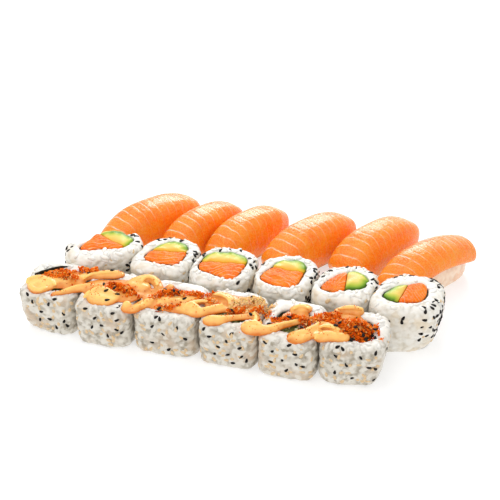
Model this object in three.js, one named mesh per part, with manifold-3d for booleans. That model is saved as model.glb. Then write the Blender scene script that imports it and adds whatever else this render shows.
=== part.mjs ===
// Eighteen pieces of sushi in three rows of six, laid out as they come in a takeaway pack: topped
// rolls in front, plain rolls behind them and salmon nigiri at the back. Millimetres, Z up, X along
// the rows, Y to the back. The finished group stands on Z = 0 about the middle of its outer box.
import * as THREE from "three";
import { mergeVertices } from "three/addons/utils/BufferGeometryUtils.js";
import Module from "manifold-3d";

const wasm = await Module();
wasm.setup();

// Driving dimensions
const SIDES = 20; // facets round a roll, each about as wide as a grain of rice is long
const HIDDEN_SIDES = 10; // facets round the seaweed and filling that the sauce covers
const GAP = 0.3; // kept between pieces that touch
const NORI = 0.8; // thickness of the seaweed sheet
const GRAIN = 0.9; // how deep the hollows between grains of rice are

const TOPPED_HEIGHT = 31; // front row up to the rice rim at the back, under the sauce
const TOPPED_DIP = 3; // how much lower the rim is at the front
const TOPPED_BACK = 37.4; // Y of the back of the front row
const TOPPED_SQUARENESS = 4.5;
const TOPPED_OPENING = [11.2, 11.6]; // half width and half depth of the filled middle
const TOPPED_FILLING_TOP = 28.6; // filling and seaweed end just under the sauce
const TOPPED_CUTS = [-22.6, 18.8, 57.2, 100.1, 138.5, 175.3, 215.6]; // X of the cuts between rolls
const TOPPED_FRONTS = [-3, -6.5, -4.5, -5, -6.5, -3]; // Y of each roll's front
// The end rolls narrow towards the bottom at their free side: by how much, and towards which angle.
const TOPPED_TUCKS = [[6, 190], [0, 0], [0, 0], [0, 0], [0, 0], [7, -10]];

const PLAIN_HEIGHT = 36; // middle row, at its back edge
const PLAIN_SQUARENESS = 2.8;
// Each plain roll: the middle of its plan, its width and depth, its turn in degrees, how far its
// front left corner is pressed out, how far its back left and front right corners are pressed in,
// how much lower its front and back edges are, the outline of its filled middle, the line that
// parts avocado and salmon, and on which side of that line the avocado is.
const PLAIN_ROLLS = [
  {
    at: [14.4, 59.6],
    size: [52, 36],
    turn: 33,
    pressed: [0, 0, 0],
    dip: 2,
    backDrop: 2.5,
    opening: [[-14, -9.5], [-8.5, 7.5], [-2, 13.5], [6, 15.5], [18, 10], [14, -1.5], [1, -7], [-9, -10.5]],
    parting: [[-20, 13.3], [20, -1.6]],
    avocadoSide: 1,
  },
  {
    at: [60.2, 61.6],
    size: [39.4, 41.6],
    turn: 0,
    pressed: [5, 0, 1.5],
    dip: 3.5,
    backDrop: 0,
    opening: [[-15, -9.5], [-10.5, 6], [-4.5, 12.7], [2, 14.4], [9, 11.7], [12.5, 1.4], [9, -11], [-1, -13]],
    parting: [[-20, -1.2], [20, 4.8]],
    avocadoSide: 1,
  },
  {
    at: [100.2, 60],
    size: [40, 42.2],
    turn: 0,
    pressed: [3.6, 1, 1.5],
    dip: 4.5,
    backDrop: 0,
    opening: [[-17, -8.5], [-14.5, 5], [-6, 11.6], [5.7, 13.2], [12, 8.2], [12, -8], [8.5, -15.5], [-7, -12.5]],
    parting: [[-20, -1.8], [20, 4.2]],
    avocadoSide: 1,
  },
  {
    at: [140.8, 61.2],
    size: [40, 43.2],
    turn: 0,
    pressed: [0, 2, 2],
    dip: 4,
    backDrop: 0,
    opening: [[-16, -10.5], [-11.5, 3.5], [-8, 11], [6, 14.2], [11, 9.5], [11.3, -4], [8, -14.5], [-6, -15.6]],
    parting: [[-20, 2.7], [20, 2.1]],
    avocadoSide: 1,
  },
  {
    at: [180.4, 60.8],
    size: [38.4, 41.2],
    turn: 0,
    pressed: [3.2, 2, 1.5],
    dip: 3.5,
    backDrop: 0,
    opening: [[-15.5, -11], [-9.5, 3.4], [-3, 10.3], [6, 11.8], [13.5, 4.6], [11.5, -4.5], [2, -8.5], [-8, -13.5]],
    parting: [[-3.2, 20], [1.6, -20]],
    avocadoSide: 1,
  },
  {
    at: [221, 61],
    size: [42, 44.2],
    turn: 0,
    pressed: [5, 2, 0],
    dip: 3.5,
    backDrop: 0,
    tuck: [7, -15],
    opening: [[-17, -9], [-10.5, 3], [-2, 7.8], [6, 10.5], [10, 5.4], [10.3, -5], [6.5, -10], [-8.5, -13]],
    parting: [[-0.4, 20], [-7.4, -20]],
    avocadoSide: -1,
  },
];

// Each nigiri: the middle of its plan, its turn in degrees from X, its length and width, and how
// high the lower edge of its salmon hangs halfway along.
const NIGIRI = [
  { at: [23, 126], turn: 55, length: 77, width: 31, edge: 5 },
  { at: [62, 126], turn: 61, length: 68, width: 27, edge: 5 },
  { at: [95, 128.5], turn: 61, length: 69, width: 27.5, edge: 5 },
  { at: [140, 130.5], turn: 58, length: 76, width: 30.5, edge: 5 },
  { at: [185, 137.5], turn: 59, length: 74, width: 31, edge: 6 },
  { at: [223, 122], turn: 56, length: 76, width: 31, edge: 18 },
];
const NIGIRI_HEIGHT = 32.2;
const RICE_HEIGHT = 21; // of a nigiri's rice, under the middle of its slice
const SALMON_THICKNESS = 7.5; // along the ridge
const SALMON_EDGE_THICKNESS = 3.4;
// How far the ridge falls to the slice's front end and to its back end, and how far its edges
// fall, as a share of their height.
const RIDGE_DROP = [15.7, 10.4];
const EDGE_DROP = [0.6, 0.38];

// Sauce piped over the topped rolls, each stroke as its half width and the points it passes.
const SAUCE_LEVEL = TOPPED_HEIGHT + 0.4; // height of a stroke's middle
const SAUCE_FLATNESS = 0.6; // height of a stroke over its width
const SAUCE_STROKES = [
  [4, [-12, 6], [-3, 8], [5, 12], [14, 19.5], [25, 26], [39, 30]],
  [3, [5, -0.5], [13, 5], [21, 11], [31, 14.5], [43, 9]],
  [3.4, [51, 15], [54, 25], [61, 31], [68, 25], [69, 12], [62, 1], [53, -1]],
  [3.2, [95, -1], [89, 6], [91, 14], [99, 17]],
  [3.2, [91, 7], [101, 7], [111, 11], [116, 20], [110, 27], [101, 27.5]],
  [3.2, [105, -1], [113, 1.5], [122, 6], [136, 13]],
  [3.4, [129, -1], [138, -2], [147, 0], [153, 6], [161, 15]],
  [3, [151, 19], [156, 27], [164, 27], [168, 20]],
  [3.2, [159, -3], [167, 2], [173, 9], [181, 17]],
  [2.8, [172, 4], [180, 11], [191, 11]],
  [3.8, [173, -1], [183, -0.5], [196, 5]],
  [3.2, [178, 25], [186, 31], [199, 30]],
];
// Wide blobs where a stroke starts or turns: middle, half width and half depth.
const SAUCE_BLOBS = [
  [-6.5, 5.5, 10.5, 9],
  [39.5, 4.5, 10.5, 9],
  [94, 0.5, 6, 5.5],
  [134.5, 0, 8, 5.5],
  [165, -1.5, 8, 6],
  [184, 2, 10, 5.5],
];
// Mounds of coarse orange crumbs on the sauce: middle, half width, half depth and half height.
const CRUMBS = [
  [8, 22, 8, 5, 2.4],
  [16, 31, 6, 4, 2.2],
  [45, 15.5, 9, 5.5, 2.4],
  [82, 18, 12, 6, 2.6],
  [103, 21.5, 8, 4, 2.2],
  [130, 22, 9, 7, 2.8],
  [148, 14, 5.5, 3.5, 2.2],
  [164, 17, 8, 5, 2.4],
  [184, 20, 9, 5, 2.6],
  [199, 15.5, 11.5, 9, 4],
];
const CRUMB_LEVEL = SAUCE_LEVEL + 0.5;

const SEED = [1.8, 1.1, 1.2]; // half length, half width and half thickness of a sesame seed
// Places of the black seeds on a roll's wall, as degrees from the front and height.
const TOPPED_SEEDS = [[-27, 22], [-12, 15], [-24, 8], [4, 20], [9, 9], [24, 17]];
const PLAIN_SEEDS = [[-52, 27], [-44, 20], [44, 25], [52, 18]];
const END_SEEDS = [[58, 26], [72, 29], [66, 18], [84, 22], [78, 12], [96, 27]];

// A repeatable random draw from 0 to 1.
function draws(seed) {
  let state = seed >>> 0;
  return () => {
    state = (state + 0x6d2b79f5) >>> 0;
    let t = state;
    t = Math.imul(t ^ (t >>> 15), t | 1);
    t ^= t + Math.imul(t ^ (t >>> 7), t | 61);
    return ((t ^ (t >>> 14)) >>> 0) / 4294967296;
  };
}

// A geometry with its shared corners joined and each corner moved by move(point, index).
function shaped(geometry, move = () => {}) {
  geometry.deleteAttribute("normal");
  geometry.deleteAttribute("uv");
  const joined = mergeVertices(geometry, 1e-4);
  const place = joined.getAttribute("position");
  const point = new THREE.Vector3();
  for (let i = 0; i < place.count; i += 1) {
    point.fromBufferAttribute(place, i);
    move(point, i);
    place.setXYZ(i, point.x, point.y, point.z);
  }
  return joined;
}

function toSolid(geometry) {
  const vertProperties = new Float32Array(geometry.getAttribute("position").array);
  const triVerts = new Uint32Array(geometry.index.array);
  return new wasm.Manifold(new wasm.Mesh({ numProp: 3, vertProperties, triVerts }));
}

function toGeometry(solid) {
  const mesh = solid.getMesh();
  const geometry = new THREE.BufferGeometry();
  geometry.setAttribute("position", new THREE.BufferAttribute(mesh.vertProperties, 3));
  geometry.setIndex(new THREE.BufferAttribute(mesh.triVerts, 1));
  return geometry;
}

function largestBody(solid) {
  return solid.decompose().sort((a, b) => b.volume() - a.volume())[0];
}

// Distance from the middle to a squarish oval's edge, towards an angle.
function squircle([halfWidth, halfDepth], squareness, turn = 0) {
  return (angle) => {
    const c = Math.abs(Math.cos(angle - turn)) / halfWidth;
    const s = Math.abs(Math.sin(angle - turn)) / halfDepth;
    return (c ** squareness + s ** squareness) ** (-1 / squareness);
  };
}

// The same outline with three of its corners pressed out or in, as a roll's neighbours do.
function pressedCorners(outline, [frontLeft, backLeft, frontRight]) {
  const share = (angle, corner) => Math.max(0, Math.cos(angle - corner * Math.PI)) ** 8;
  return (angle) =>
    outline(angle) +
    frontLeft * share(angle, -0.78) -
    backLeft * share(angle, 0.75) -
    frontRight * share(angle, -0.14);
}

// Distance from the middle to a smooth closed curve through some points, towards an angle.
function smoothOutline(points) {
  const corners = points.map(([x, y]) => new THREE.Vector3(x, y, 0));
  const curve = new THREE.CatmullRomCurve3(corners, true, "centripetal");
  const polar = curve.getPoints(240).map((p) => [Math.atan2(p.y, p.x), Math.hypot(p.x, p.y)]);
  return (angle) => {
    const apart = ([a]) => Math.abs(Math.atan2(Math.sin(a - angle), Math.cos(a - angle)));
    return polar.reduce((best, p) => (apart(p) < apart(best) ? p : best))[1];
  };
}

// The same outline, closer to the middle by an inset.
function inset(outline, distance) {
  return (angle) => outline(angle) - distance;
}

function outlineShape(outline, sides) {
  const corners = [];
  for (let i = 0; i < sides; i += 1) {
    const angle = (i / sides) * 2 * Math.PI;
    const radius = outline(angle);
    corners.push(new THREE.Vector2(radius * Math.cos(angle), radius * Math.sin(angle)));
  }
  return new THREE.Shape(corners);
}

function prism(outline, bottom, top, hole, sides = SIDES) {
  const shape = outlineShape(outline, sides);
  if (hole) shape.holes.push(outlineShape(hole, sides));
  const geometry = new THREE.ExtrudeGeometry(shape, { depth: top - bottom, bevelEnabled: false });
  return geometry.translate(0, 0, bottom);
}

// The rice of a roll: a thick ring round the opening, with rounded edges, uneven where grains lie.
// The lathe turns a nominal ring of radius 1 to 2, whose corners then move out to the real outlines.
function riceRing({ outer, opening, height, tuck: [tuckDepth, tuckDegrees] = [0, 0], seed }) {
  const random = draws(seed);
  const tuckAngle = THREE.MathUtils.degToRad(tuckDegrees);
  const profile = [
    [1, 0],
    [1.84, 0],
    [1.96, 1.4],
    [2, 6.5],
    [2, height * 0.45],
    [2, height * 0.75],
    [1.9, height - 2.6],
    [1.5, height],
    [1, height - 0.8],
    [1, 0],
  ];
  const points = profile.map(([radius, z]) => new THREE.Vector2(radius, z));
  const lathe = new THREE.LatheGeometry(points, SIDES).rotateX(Math.PI / 2);
  return shaped(lathe, (p) => {
    const angle = Math.atan2(p.y, p.x);
    const across = Math.hypot(p.x, p.y) - 1;
    const facing = Math.max(0, Math.cos(angle - tuckAngle));
    const tucked = across > 0.7 ? tuckDepth * facing * (1 - p.z / height) ** 3 : 0;
    const sunk = across > 0.8 && p.z > 1 ? GRAIN * random() : 0;
    const radius = THREE.MathUtils.lerp(opening(angle), outer(angle) - tucked, across) - sunk;
    if (across > 0.4 && p.z > height - 1) p.z -= GRAIN * random();
    p.x = radius * Math.cos(angle);
    p.y = radius * Math.sin(angle);
  });
}

// A sesame seed half sunk in a roll's wall.
function seedOnWall(outer, fromFront, height, lean) {
  const angle = THREE.MathUtils.degToRad(fromFront - 90);
  const radius = outer(angle) - 0.55;
  const [halfLength, halfWidth, halfThickness] = SEED;
  const seed = new THREE.SphereGeometry(1, 5, 2)
    .scale(halfWidth, halfLength, halfThickness)
    .rotateZ(lean)
    .rotateX(Math.PI / 2)
    .rotateZ(angle + Math.PI / 2)
    .translate(radius * Math.cos(angle), radius * Math.sin(angle), height);
  return toSolid(shaped(seed));
}

function withSeeds(rice, outer, places, seed) {
  const random = draws(seed);
  const seeds = places.map(([fromFront, height]) => {
    const turned = fromFront + 5 * (random() - 0.5);
    return seedOnWall(outer, turned, height + 3 * (random() - 0.5), Math.PI * random());
  });
  return seeds.reduce((body, one) => body.add(one), rice);
}

// Sauce sags where it hangs over the front edge of a roll.
function sag(y) {
  return 1.8 * (THREE.MathUtils.clamp(3 - y, 0, 6) / 6) ** 2;
}

// One stroke of sauce: a flattened tube through its points, thinner than it is wide and tapered at
// both ends.
function sauceStroke([radius, ...points]) {
  const level = SAUCE_LEVEL / SAUCE_FLATNESS;
  const path = new THREE.CatmullRomCurve3(points.map(([x, y]) => new THREE.Vector3(x, y, level)));
  const section = new THREE.Shape();
  section.absarc(0, 0, radius, 0, 2 * Math.PI);
  const tube = new THREE.ExtrudeGeometry(section, {
    steps: Math.round(path.getLength() / 8),
    curveSegments: 3,
    extrudePath: path,
    bevelEnabled: false,
  });
  const ends = [path.getPointAt(0), path.getPointAt(1)];
  return toSolid(
    shaped(tube, (p) => {
      const end = ends.find((one) => one.distanceTo(p) < 1.01 * radius);
      if (end) p.lerp(end, 0.5);
      p.z = p.z * SAUCE_FLATNESS - sag(p.y);
    }),
  );
}

function sauceBlob([x, y, halfWidth, halfDepth]) {
  const blob = new THREE.SphereGeometry(1, 8, 4).rotateX(Math.PI / 2);
  blob.scale(halfWidth, halfDepth, 2.4).translate(x, y, SAUCE_LEVEL + 0.2);
  return toSolid(
    shaped(blob, (p) => {
      p.z -= sag(p.y);
    }),
  );
}

function crumbMound([x, y, halfWidth, halfDepth, halfHeight], index) {
  const random = draws(900 + index);
  const mound = new THREE.SphereGeometry(1, 7, 4).rotateX(Math.PI / 2);
  const geometry = shaped(mound, (p) => {
    p.multiplyScalar(0.86 + 0.14 * random());
    if (p.z < 0) p.z *= 0.5;
  });
  geometry.scale(halfWidth, halfDepth, halfHeight).translate(x, y, CRUMB_LEVEL);
  return toSolid(geometry);
}

function material(color, roughness) {
  return new THREE.MeshStandardMaterial({ color, roughness, metalness: 0 });
}
const rice = material(0xece8de, 0.6);
const nori = material(0x1c2019, 0.5);
const salmon = material(0xf58142, 0.3);
const avocado = material(0xc3cf63, 0.5);
const filling = material(0xa9b070, 0.6);

function named(name, geometry, look, at = [0, 0]) {
  const mesh = new THREE.Mesh(geometry, look);
  mesh.name = name;
  mesh.position.set(at[0], at[1], 0);
  return mesh;
}

// The outlines that a roll's layers share, from the opening in the rice inwards.
function layers(opening) {
  const noriOuter = inset(opening, GAP);
  const noriInner = inset(noriOuter, NORI);
  return { noriOuter, noriInner, core: inset(noriInner, GAP) };
}

// A roll's face dips towards the front by front, and behind its left shoulder by back.
function dipped(reach, height, front, back) {
  return (p) => {
    const forward = THREE.MathUtils.clamp((reach - p.y) / (2 * reach), 0, 1);
    const behind = THREE.MathUtils.smoothstep(p.y - 0.6 * p.x, 6, 16);
    p.z *= 1 - (front * forward + back * behind) / height;
  };
}

// A front row roll, with its share of the sauce and crumbs fused to the rice.
function toppedRoll(index, topping) {
  const left = TOPPED_CUTS[index] + GAP;
  const right = TOPPED_CUTS[index + 1] - GAP;
  const front = TOPPED_FRONTS[index];
  const half = [(right - left) / 2, (TOPPED_BACK - front) / 2];
  const at = [left + half[0], front + half[1]];
  const outer = squircle(half, TOPPED_SQUARENESS);
  const opening = squircle(TOPPED_OPENING, PLAIN_SQUARENESS);
  const { noriOuter, noriInner, core } = layers(opening);
  const tuck = TOPPED_TUCKS[index];

  const ring = riceRing({ outer, opening, height: TOPPED_HEIGHT, tuck, seed: 11 + index });
  const places = index === 5 ? [...TOPPED_SEEDS, ...END_SEEDS.slice(0, 2)] : TOPPED_SEEDS;
  const seeded = withSeeds(toSolid(ring), outer, places, 31 + index);
  const slot = new THREE.BoxGeometry(right - left, 4 * half[1], 4 * TOPPED_HEIGHT);
  const share = topping.translate([-at[0], -at[1], 0]).intersect(toSolid(shaped(slot)));
  const whole = toGeometry(largestBody(seeded.add(share)));
  const sheet = prism(noriOuter, GAP, TOPPED_FILLING_TOP, noriInner, HIDDEN_SIDES);
  const middle = prism(core, GAP, TOPPED_FILLING_TOP, null, HIDDEN_SIDES);

  const name = `topped_${index + 1}`;
  const dip = dipped(half[1] + 1, TOPPED_HEIGHT, TOPPED_DIP, 0);
  return [
    named(`${name}_rice`, shaped(whole, dip), rice, at),
    named(`${name}_nori`, shaped(sheet, dip), nori, at),
    named(`${name}_filling`, shaped(middle, dip), filling, at),
  ];
}

// A middle row roll, standing on end with its cut face up.
function plainRoll(index) {
  const { at, size, turn, pressed, dip, backDrop, tuck, parting, avocadoSide } = PLAIN_ROLLS[index];
  const half = size.map((side) => side / 2);
  const oval = squircle(half, PLAIN_SQUARENESS, THREE.MathUtils.degToRad(turn));
  const outer = pressedCorners(oval, pressed);
  const opening = smoothOutline(PLAIN_ROLLS[index].opening);
  const { noriOuter, noriInner, core } = layers(opening);

  const ring = riceRing({ outer, opening, height: PLAIN_HEIGHT, tuck, seed: 51 + index });
  const places = index === 5 ? [...PLAIN_SEEDS.slice(0, 2), ...END_SEEDS] : PLAIN_SEEDS;
  const body = largestBody(withSeeds(toSolid(ring), outer, places, 71 + index));
  const sheet = prism(noriOuter, GAP, PLAIN_HEIGHT - 0.8, noriInner);

  const [start, end] = parting.map(([x, y]) => new THREE.Vector2(x, y));
  const along = end.clone().sub(start);
  const knife = new THREE.BoxGeometry(along.length(), GAP, 3 * PLAIN_HEIGHT)
    .rotateZ(along.angle())
    .translate((start.x + end.x) / 2, (start.y + end.y) / 2, 0);
  const middle = toSolid(shaped(prism(core, GAP, PLAIN_HEIGHT + 0.3, null)));
  const side = (solid) => {
    const { min, max } = solid.boundingBox();
    const x = (min[0] + max[0]) / 2 - start.x;
    const y = (min[1] + max[1]) / 2 - start.y;
    return avocadoSide * (along.x * y - along.y * x);
  };
  const halves = middle.subtract(toSolid(shaped(knife))).decompose();
  const [avocadoHalf, salmonHalf] = halves.sort((a, b) => side(b) - side(a));

  const name = `roll_${index + 1}`;
  const face = dipped(half[1] + 1, PLAIN_HEIGHT, dip, 0);
  const rim = dipped(half[1] + 1, PLAIN_HEIGHT, dip, backDrop);
  return [
    named(`${name}_rice`, shaped(toGeometry(body), rim), rice, at),
    named(`${name}_nori`, shaped(sheet, rim), nori, at),
    named(`${name}_salmon`, shaped(toGeometry(salmonHalf), face), salmon, at),
    named(`${name}_avocado`, shaped(toGeometry(avocadoHalf), face), avocado, at),
  ];
}

// A nigiri's salmon slice arches over its rice. along runs from -1 at the front end to 1 at the
// back end, across from -1 to 1, and depth from 0 on the outside to 1 on the underside.
function salmonPoint({ length, width, edge }, along, across, depth) {
  const end = along < 0 ? 0 : 1;
  const ridge = NIGIRI_HEIGHT - RIDGE_DROP[end] * Math.abs(along) ** 2.8;
  const hem = edge * (1 - EDGE_DROP[end] * along ** 2);
  const taper = 1 - 0.3 * Math.abs(along) ** 4;
  const arc = (across * Math.PI) / 2;
  const thickness = THREE.MathUtils.lerp(SALMON_THICKNESS, SALMON_EDGE_THICKNESS, across ** 2);
  const half = (width / 2) * taper - depth * thickness * Math.abs(Math.sin(arc));
  const rise = ridge - hem - depth * thickness * Math.cos(arc);
  const roundness = 0.5 + 0.018 * edge; // a slice that hangs lower has steeper sides
  return new THREE.Vector3(
    ((along * length) / 2) * (1 - 0.07 * Math.abs(across) ** 3),
    Math.sign(across) * half * Math.abs(Math.sin(arc)) ** roundness,
    hem + rise * Math.cos(arc) ** roundness,
  );
}

// The rice under the slice: a block with a rounded top that stays inside the arch.
function nigiriRice(piece, seed) {
  const random = draws(seed);
  const block = new THREE.BoxGeometry(2, 2, 2, 6, 4, 2);
  return shaped(block, (p) => {
    const along = p.x * 0.9;
    const roof = salmonPoint(piece, along, p.y * 0.9, 1);
    const foot = salmonPoint(piece, along, 1, 1);
    const narrow = 1 - 0.16 * p.x ** 6;
    const uneven = 0.4 * random();
    if (p.z > 0) {
      p.y = (0.92 - 0.12 * p.x ** 4) * roof.y;
      p.z = Math.max(Math.min(roof.z - 1.6, RICE_HEIGHT), 3) - uneven;
    } else {
      const tucked = p.z < 0 ? 0.92 : 1;
      p.y *= tucked * narrow * (Math.abs(foot.y) - 1 - uneven);
      p.z = p.z < 0 ? 0 : Math.min(0.4 * roof.z, 8);
    }
    p.x = (along * piece.length) / 2;
  });
}

function nigiri(index) {
  const piece = NIGIRI[index];
  const block = new THREE.BoxGeometry(2, 2, 1, 9, 6, 1);
  const slice = shaped(block, (p) => {
    p.copy(salmonPoint(piece, p.x, p.y, 0.5 - p.z));
  });

  const pair = new THREE.Group();
  pair.position.set(piece.at[0], piece.at[1], 0);
  pair.rotation.z = THREE.MathUtils.degToRad(piece.turn);
  const name = `nigiri_${index + 1}`;
  pair.add(
    named(`${name}_rice`, nigiriRice(piece, 91 + index), rice),
    named(`${name}_salmon`, slice, salmon),
  );
  return pair;
}

const topping = [
  ...SAUCE_STROKES.map(sauceStroke),
  ...SAUCE_BLOBS.map(sauceBlob),
  ...CRUMBS.map(crumbMound),
].reduce((all, one) => all.add(one));

const sushi = new THREE.Group();
for (let i = 0; i < 6; i += 1) {
  sushi.add(...toppedRoll(i, topping), ...plainRoll(i), nigiri(i));
}

// The origin goes under the middle of the whole set.
const box = new THREE.Box3().setFromObject(sushi, true);
sushi.position.set(-(box.min.x + box.max.x) / 2, -(box.min.y + box.max.y) / 2, -box.min.z);

export default new THREE.Group().add(sushi);
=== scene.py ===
"""Eighteen pieces of takeaway sushi in three rows: topped rolls, plain rolls and salmon nigiri.

Lengths are millimetres in the layout's own frame, X along the rows, Y to the back, Z up. They are
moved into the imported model's frame, in metres, when a mesh is made.
"""

import math

import bmesh
import bpy
import numpy as np
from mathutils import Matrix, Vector


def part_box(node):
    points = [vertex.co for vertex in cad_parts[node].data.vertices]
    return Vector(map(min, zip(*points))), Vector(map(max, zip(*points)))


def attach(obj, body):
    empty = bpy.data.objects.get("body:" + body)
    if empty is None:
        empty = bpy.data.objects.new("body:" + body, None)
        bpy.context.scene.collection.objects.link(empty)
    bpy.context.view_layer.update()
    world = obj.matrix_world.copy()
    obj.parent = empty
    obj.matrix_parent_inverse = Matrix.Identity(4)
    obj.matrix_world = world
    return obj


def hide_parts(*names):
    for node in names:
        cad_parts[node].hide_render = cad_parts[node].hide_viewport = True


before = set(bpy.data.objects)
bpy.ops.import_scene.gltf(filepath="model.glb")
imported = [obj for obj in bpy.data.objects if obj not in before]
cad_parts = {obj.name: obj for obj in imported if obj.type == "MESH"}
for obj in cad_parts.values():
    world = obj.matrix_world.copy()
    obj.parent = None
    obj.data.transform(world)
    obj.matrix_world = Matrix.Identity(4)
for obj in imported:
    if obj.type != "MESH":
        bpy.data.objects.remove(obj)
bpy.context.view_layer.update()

# --- measures, most of them shared with the source

GAP = 0.3
NORI = 0.8
TOPPED_HEIGHT = 31
TOPPED_DIP = 3
TOPPED_BACK = 37.4
TOPPED_SQUARENESS = 4.5
TOPPED_OPENING = (11.2, 11.6)
TOPPED_FILLING_TOP = 28.6
TOPPED_CUTS = (-22.6, 18.8, 57.2, 100.1, 138.5, 175.3, 215.6)
TOPPED_FRONTS = (-3, -6.5, -4.5, -5, -6.5, -3)
TOPPED_TUCKS = ((6, 190), (0, 0), (0, 0), (0, 0), (0, 0), (7, -10))
PLAIN_HEIGHT = 36
PLAIN_SQUARENESS = 2.8
# Each plain roll's opening, round its middle.
PLAIN_OPENINGS = (
    ((-14, -9.5), (-8.5, 7.5), (-2, 13.5), (6, 15.5), (18, 10), (14, -1.5), (1, -7), (-9, -10.5)),
    ((-15, -9.5), (-10.5, 6), (-4.5, 12.7), (2, 14.4), (9, 11.7), (12.5, 1.4), (9, -11), (-1, -13)),
    ((-17, -8.5), (-16, 6), (-9, 11.6), (6.5, 12.8), (12.6, 7.8), (12, -8), (8.5, -15.5), (-7, -12.5)),
    ((-16, -10.5), (-11.5, 3.5), (-8, 11), (6, 14.2), (11, 9.5), (11.3, -4), (8, -14.5), (-6, -15.6)),
    ((-15.5, -11), (-9.5, 3.4), (-3, 10.3), (6, 11.8), (13.5, 4.6), (11.5, -4.5), (2, -8.5), (-8, -13.5)),
    ((-17, -9), (-10.5, 3), (-2, 7.8), (6, 10.5), (10, 5.4), (10.3, -5), (6.5, -10), (-8.5, -13)),
)
# The line that parts each one's fillings.
PLAIN_PARTINGS = (
    ((-20, 13.3), (20, -1.6)), ((-20, -1.2), (20, 4.8)), ((-20, -1.8), (20, 4.2)),
    ((-20, 2.7), (20, 2.1)), ((-3.2, 20), (1.6, -20)), ((-0.4, 20), (-7.4, -20)),
)
# Where each one is, its size, how far its front left corner is pressed out and its back left and front
# right ones in, and how much lower its front is. The first is turned and its rice is low behind. The
# last one's foot is tucked in by a depth at an angle, and its avocado is on the parting's other side.
PLAIN_ROLLS = (
    dict(at=(14.4, 59.6), size=(52, 36), pressed=(0, 0, 0), dip=2, turn=33, back_drop=7.5),
    dict(at=(60.2, 61.6), size=(39.4, 41.6), pressed=(5, 0, 1.5), dip=3.5),
    dict(at=(100.2, 60), size=(40, 42.2), pressed=(3.6, 1, 1.5), dip=4.5),
    dict(at=(140.8, 61.2), size=(40, 43.2), pressed=(0, 2, 2), dip=4),
    dict(at=(180.4, 60.8), size=(38.4, 41.2), pressed=(3.2, 2, 1.5), dip=3.5),
    dict(at=(221, 61), size=(42, 44.2), pressed=(5, 2, 0), dip=3.5, tuck=(7, -15), avocado_side=-1),
)
# How each slice's back end is: its drop's share and curve, how much narrower it is, and how rounded
# its corners are.
BACK_END = dict(end_drop=1, end_curve=2.8, end_taper=0.3, end_corner=0.3)
BLUNT_END = dict(end_drop=0.75, end_curve=1.9, end_taper=0.14, end_corner=0.02)
NIGIRI = (
    dict(at=(23, 126), turn=55, length=77, width=31, edge=5, **BACK_END),
    dict(at=(62, 126), turn=61, length=68, width=27, edge=5, **BACK_END),
    dict(at=(95, 128.5), turn=61, length=69, width=27.5, edge=5, **BACK_END),
    dict(at=(140, 130.5), turn=58, length=76, width=30.5, edge=5, **BACK_END),
    dict(at=(185, 137.5), turn=59, length=74, width=31, edge=6, **BACK_END),
    dict(at=(223, 122), turn=56, length=76, width=31, edge=18, **BLUNT_END),
)
FRONT_LEFT, BACK_LEFT, FRONT_RIGHT = -0.78, 0.75, -0.14  # directions of the corners, in half turns
NIGIRI_HEIGHT = 32.2
RICE_HEIGHT = 21
FRONT_SHARE = 0.84  # the rice ends this much nearer the middle in front, behind the slice's end
HANGING = 10  # a slice whose edge is below this level hangs over its rice
LOWER_HEM = 2.2  # such a slice reaches this much lower than the solid
FRONT_END = dict(end_curve=2.8, end_taper=0.14, end_corner=0.14)
SALMON_THICKNESS = 7.5
SALMON_EDGE_THICKNESS = 3.4
RIDGE_DROP = (15.7, 10.4)
EDGE_DROP = (0.6, 0.38)

# --- the dressing's own

OUTLINE_POINTS = 240
RICE_STEP = 0.7  # spacing of the rice skins' points
NIGIRI_STEP = 0.85  # the same under the slices
# How far grains rise on a roll's wall and on its top, how many lie loose on its rim, how far they rise
# on the top's front, and how rounded its rim is.
TOPPED_RELIEF = (1.25, 0.9, 30, 0.9, 4)
PLAIN_RELIEF = (1.2, 0.95, 34, 1.0, 5)
RICE_INSET = 1.0  # how far the skin lies inside the outline before its grains rise
GRAIN = (3.3, 1.6)  # half length and half width of a grain of rice
GRAIN_SPACING = 2.8
GRAIN_SINK = 0.6  # how deep a loose grain lies in the skin
RING_WIDTH = 10  # about how wide a roll's rice is, for the spacing of its points
DRAWN_IN = 2.4  # how far the first topped roll's free side is drawn in
CORE_TOP = PLAIN_HEIGHT - 0.7
CORE_BULGE = 0.9  # how much higher a core's cut face is in its middle
# A core's cut face from its side inwards as (share of its outline, depth below the face, how far it has
# spread).
CORE_RIM = ((1, 6, 0), (1, 2.6, 0.7), (1, 0.9, 1), (0.985, 0.4, 1), (0.95, 0.12, 1), (0.88, 0.03, 1))
CORE_FACE = (0.8, 0.7, 0.6, 0.5, 0.39, 0.27, 0.14)
CORE_POINTS = 110
MIX_RINGS = ((1, GAP), (1, 14), (1, 27.4), (0.8, 28.2), (0.5, 28.4), (0.2, 28.4))
MIX_POINTS = 96
MIX_CHUNKS = 36
# The slant and the spacing of the fat lines in each core.
CORE_SLANTS = (-0.5, -0.15, -0.55, 0.35, 0, 1.3)
CORE_SPACINGS = (3.1, 3.4, 3, 2.8, 3, 3.4)
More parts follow.
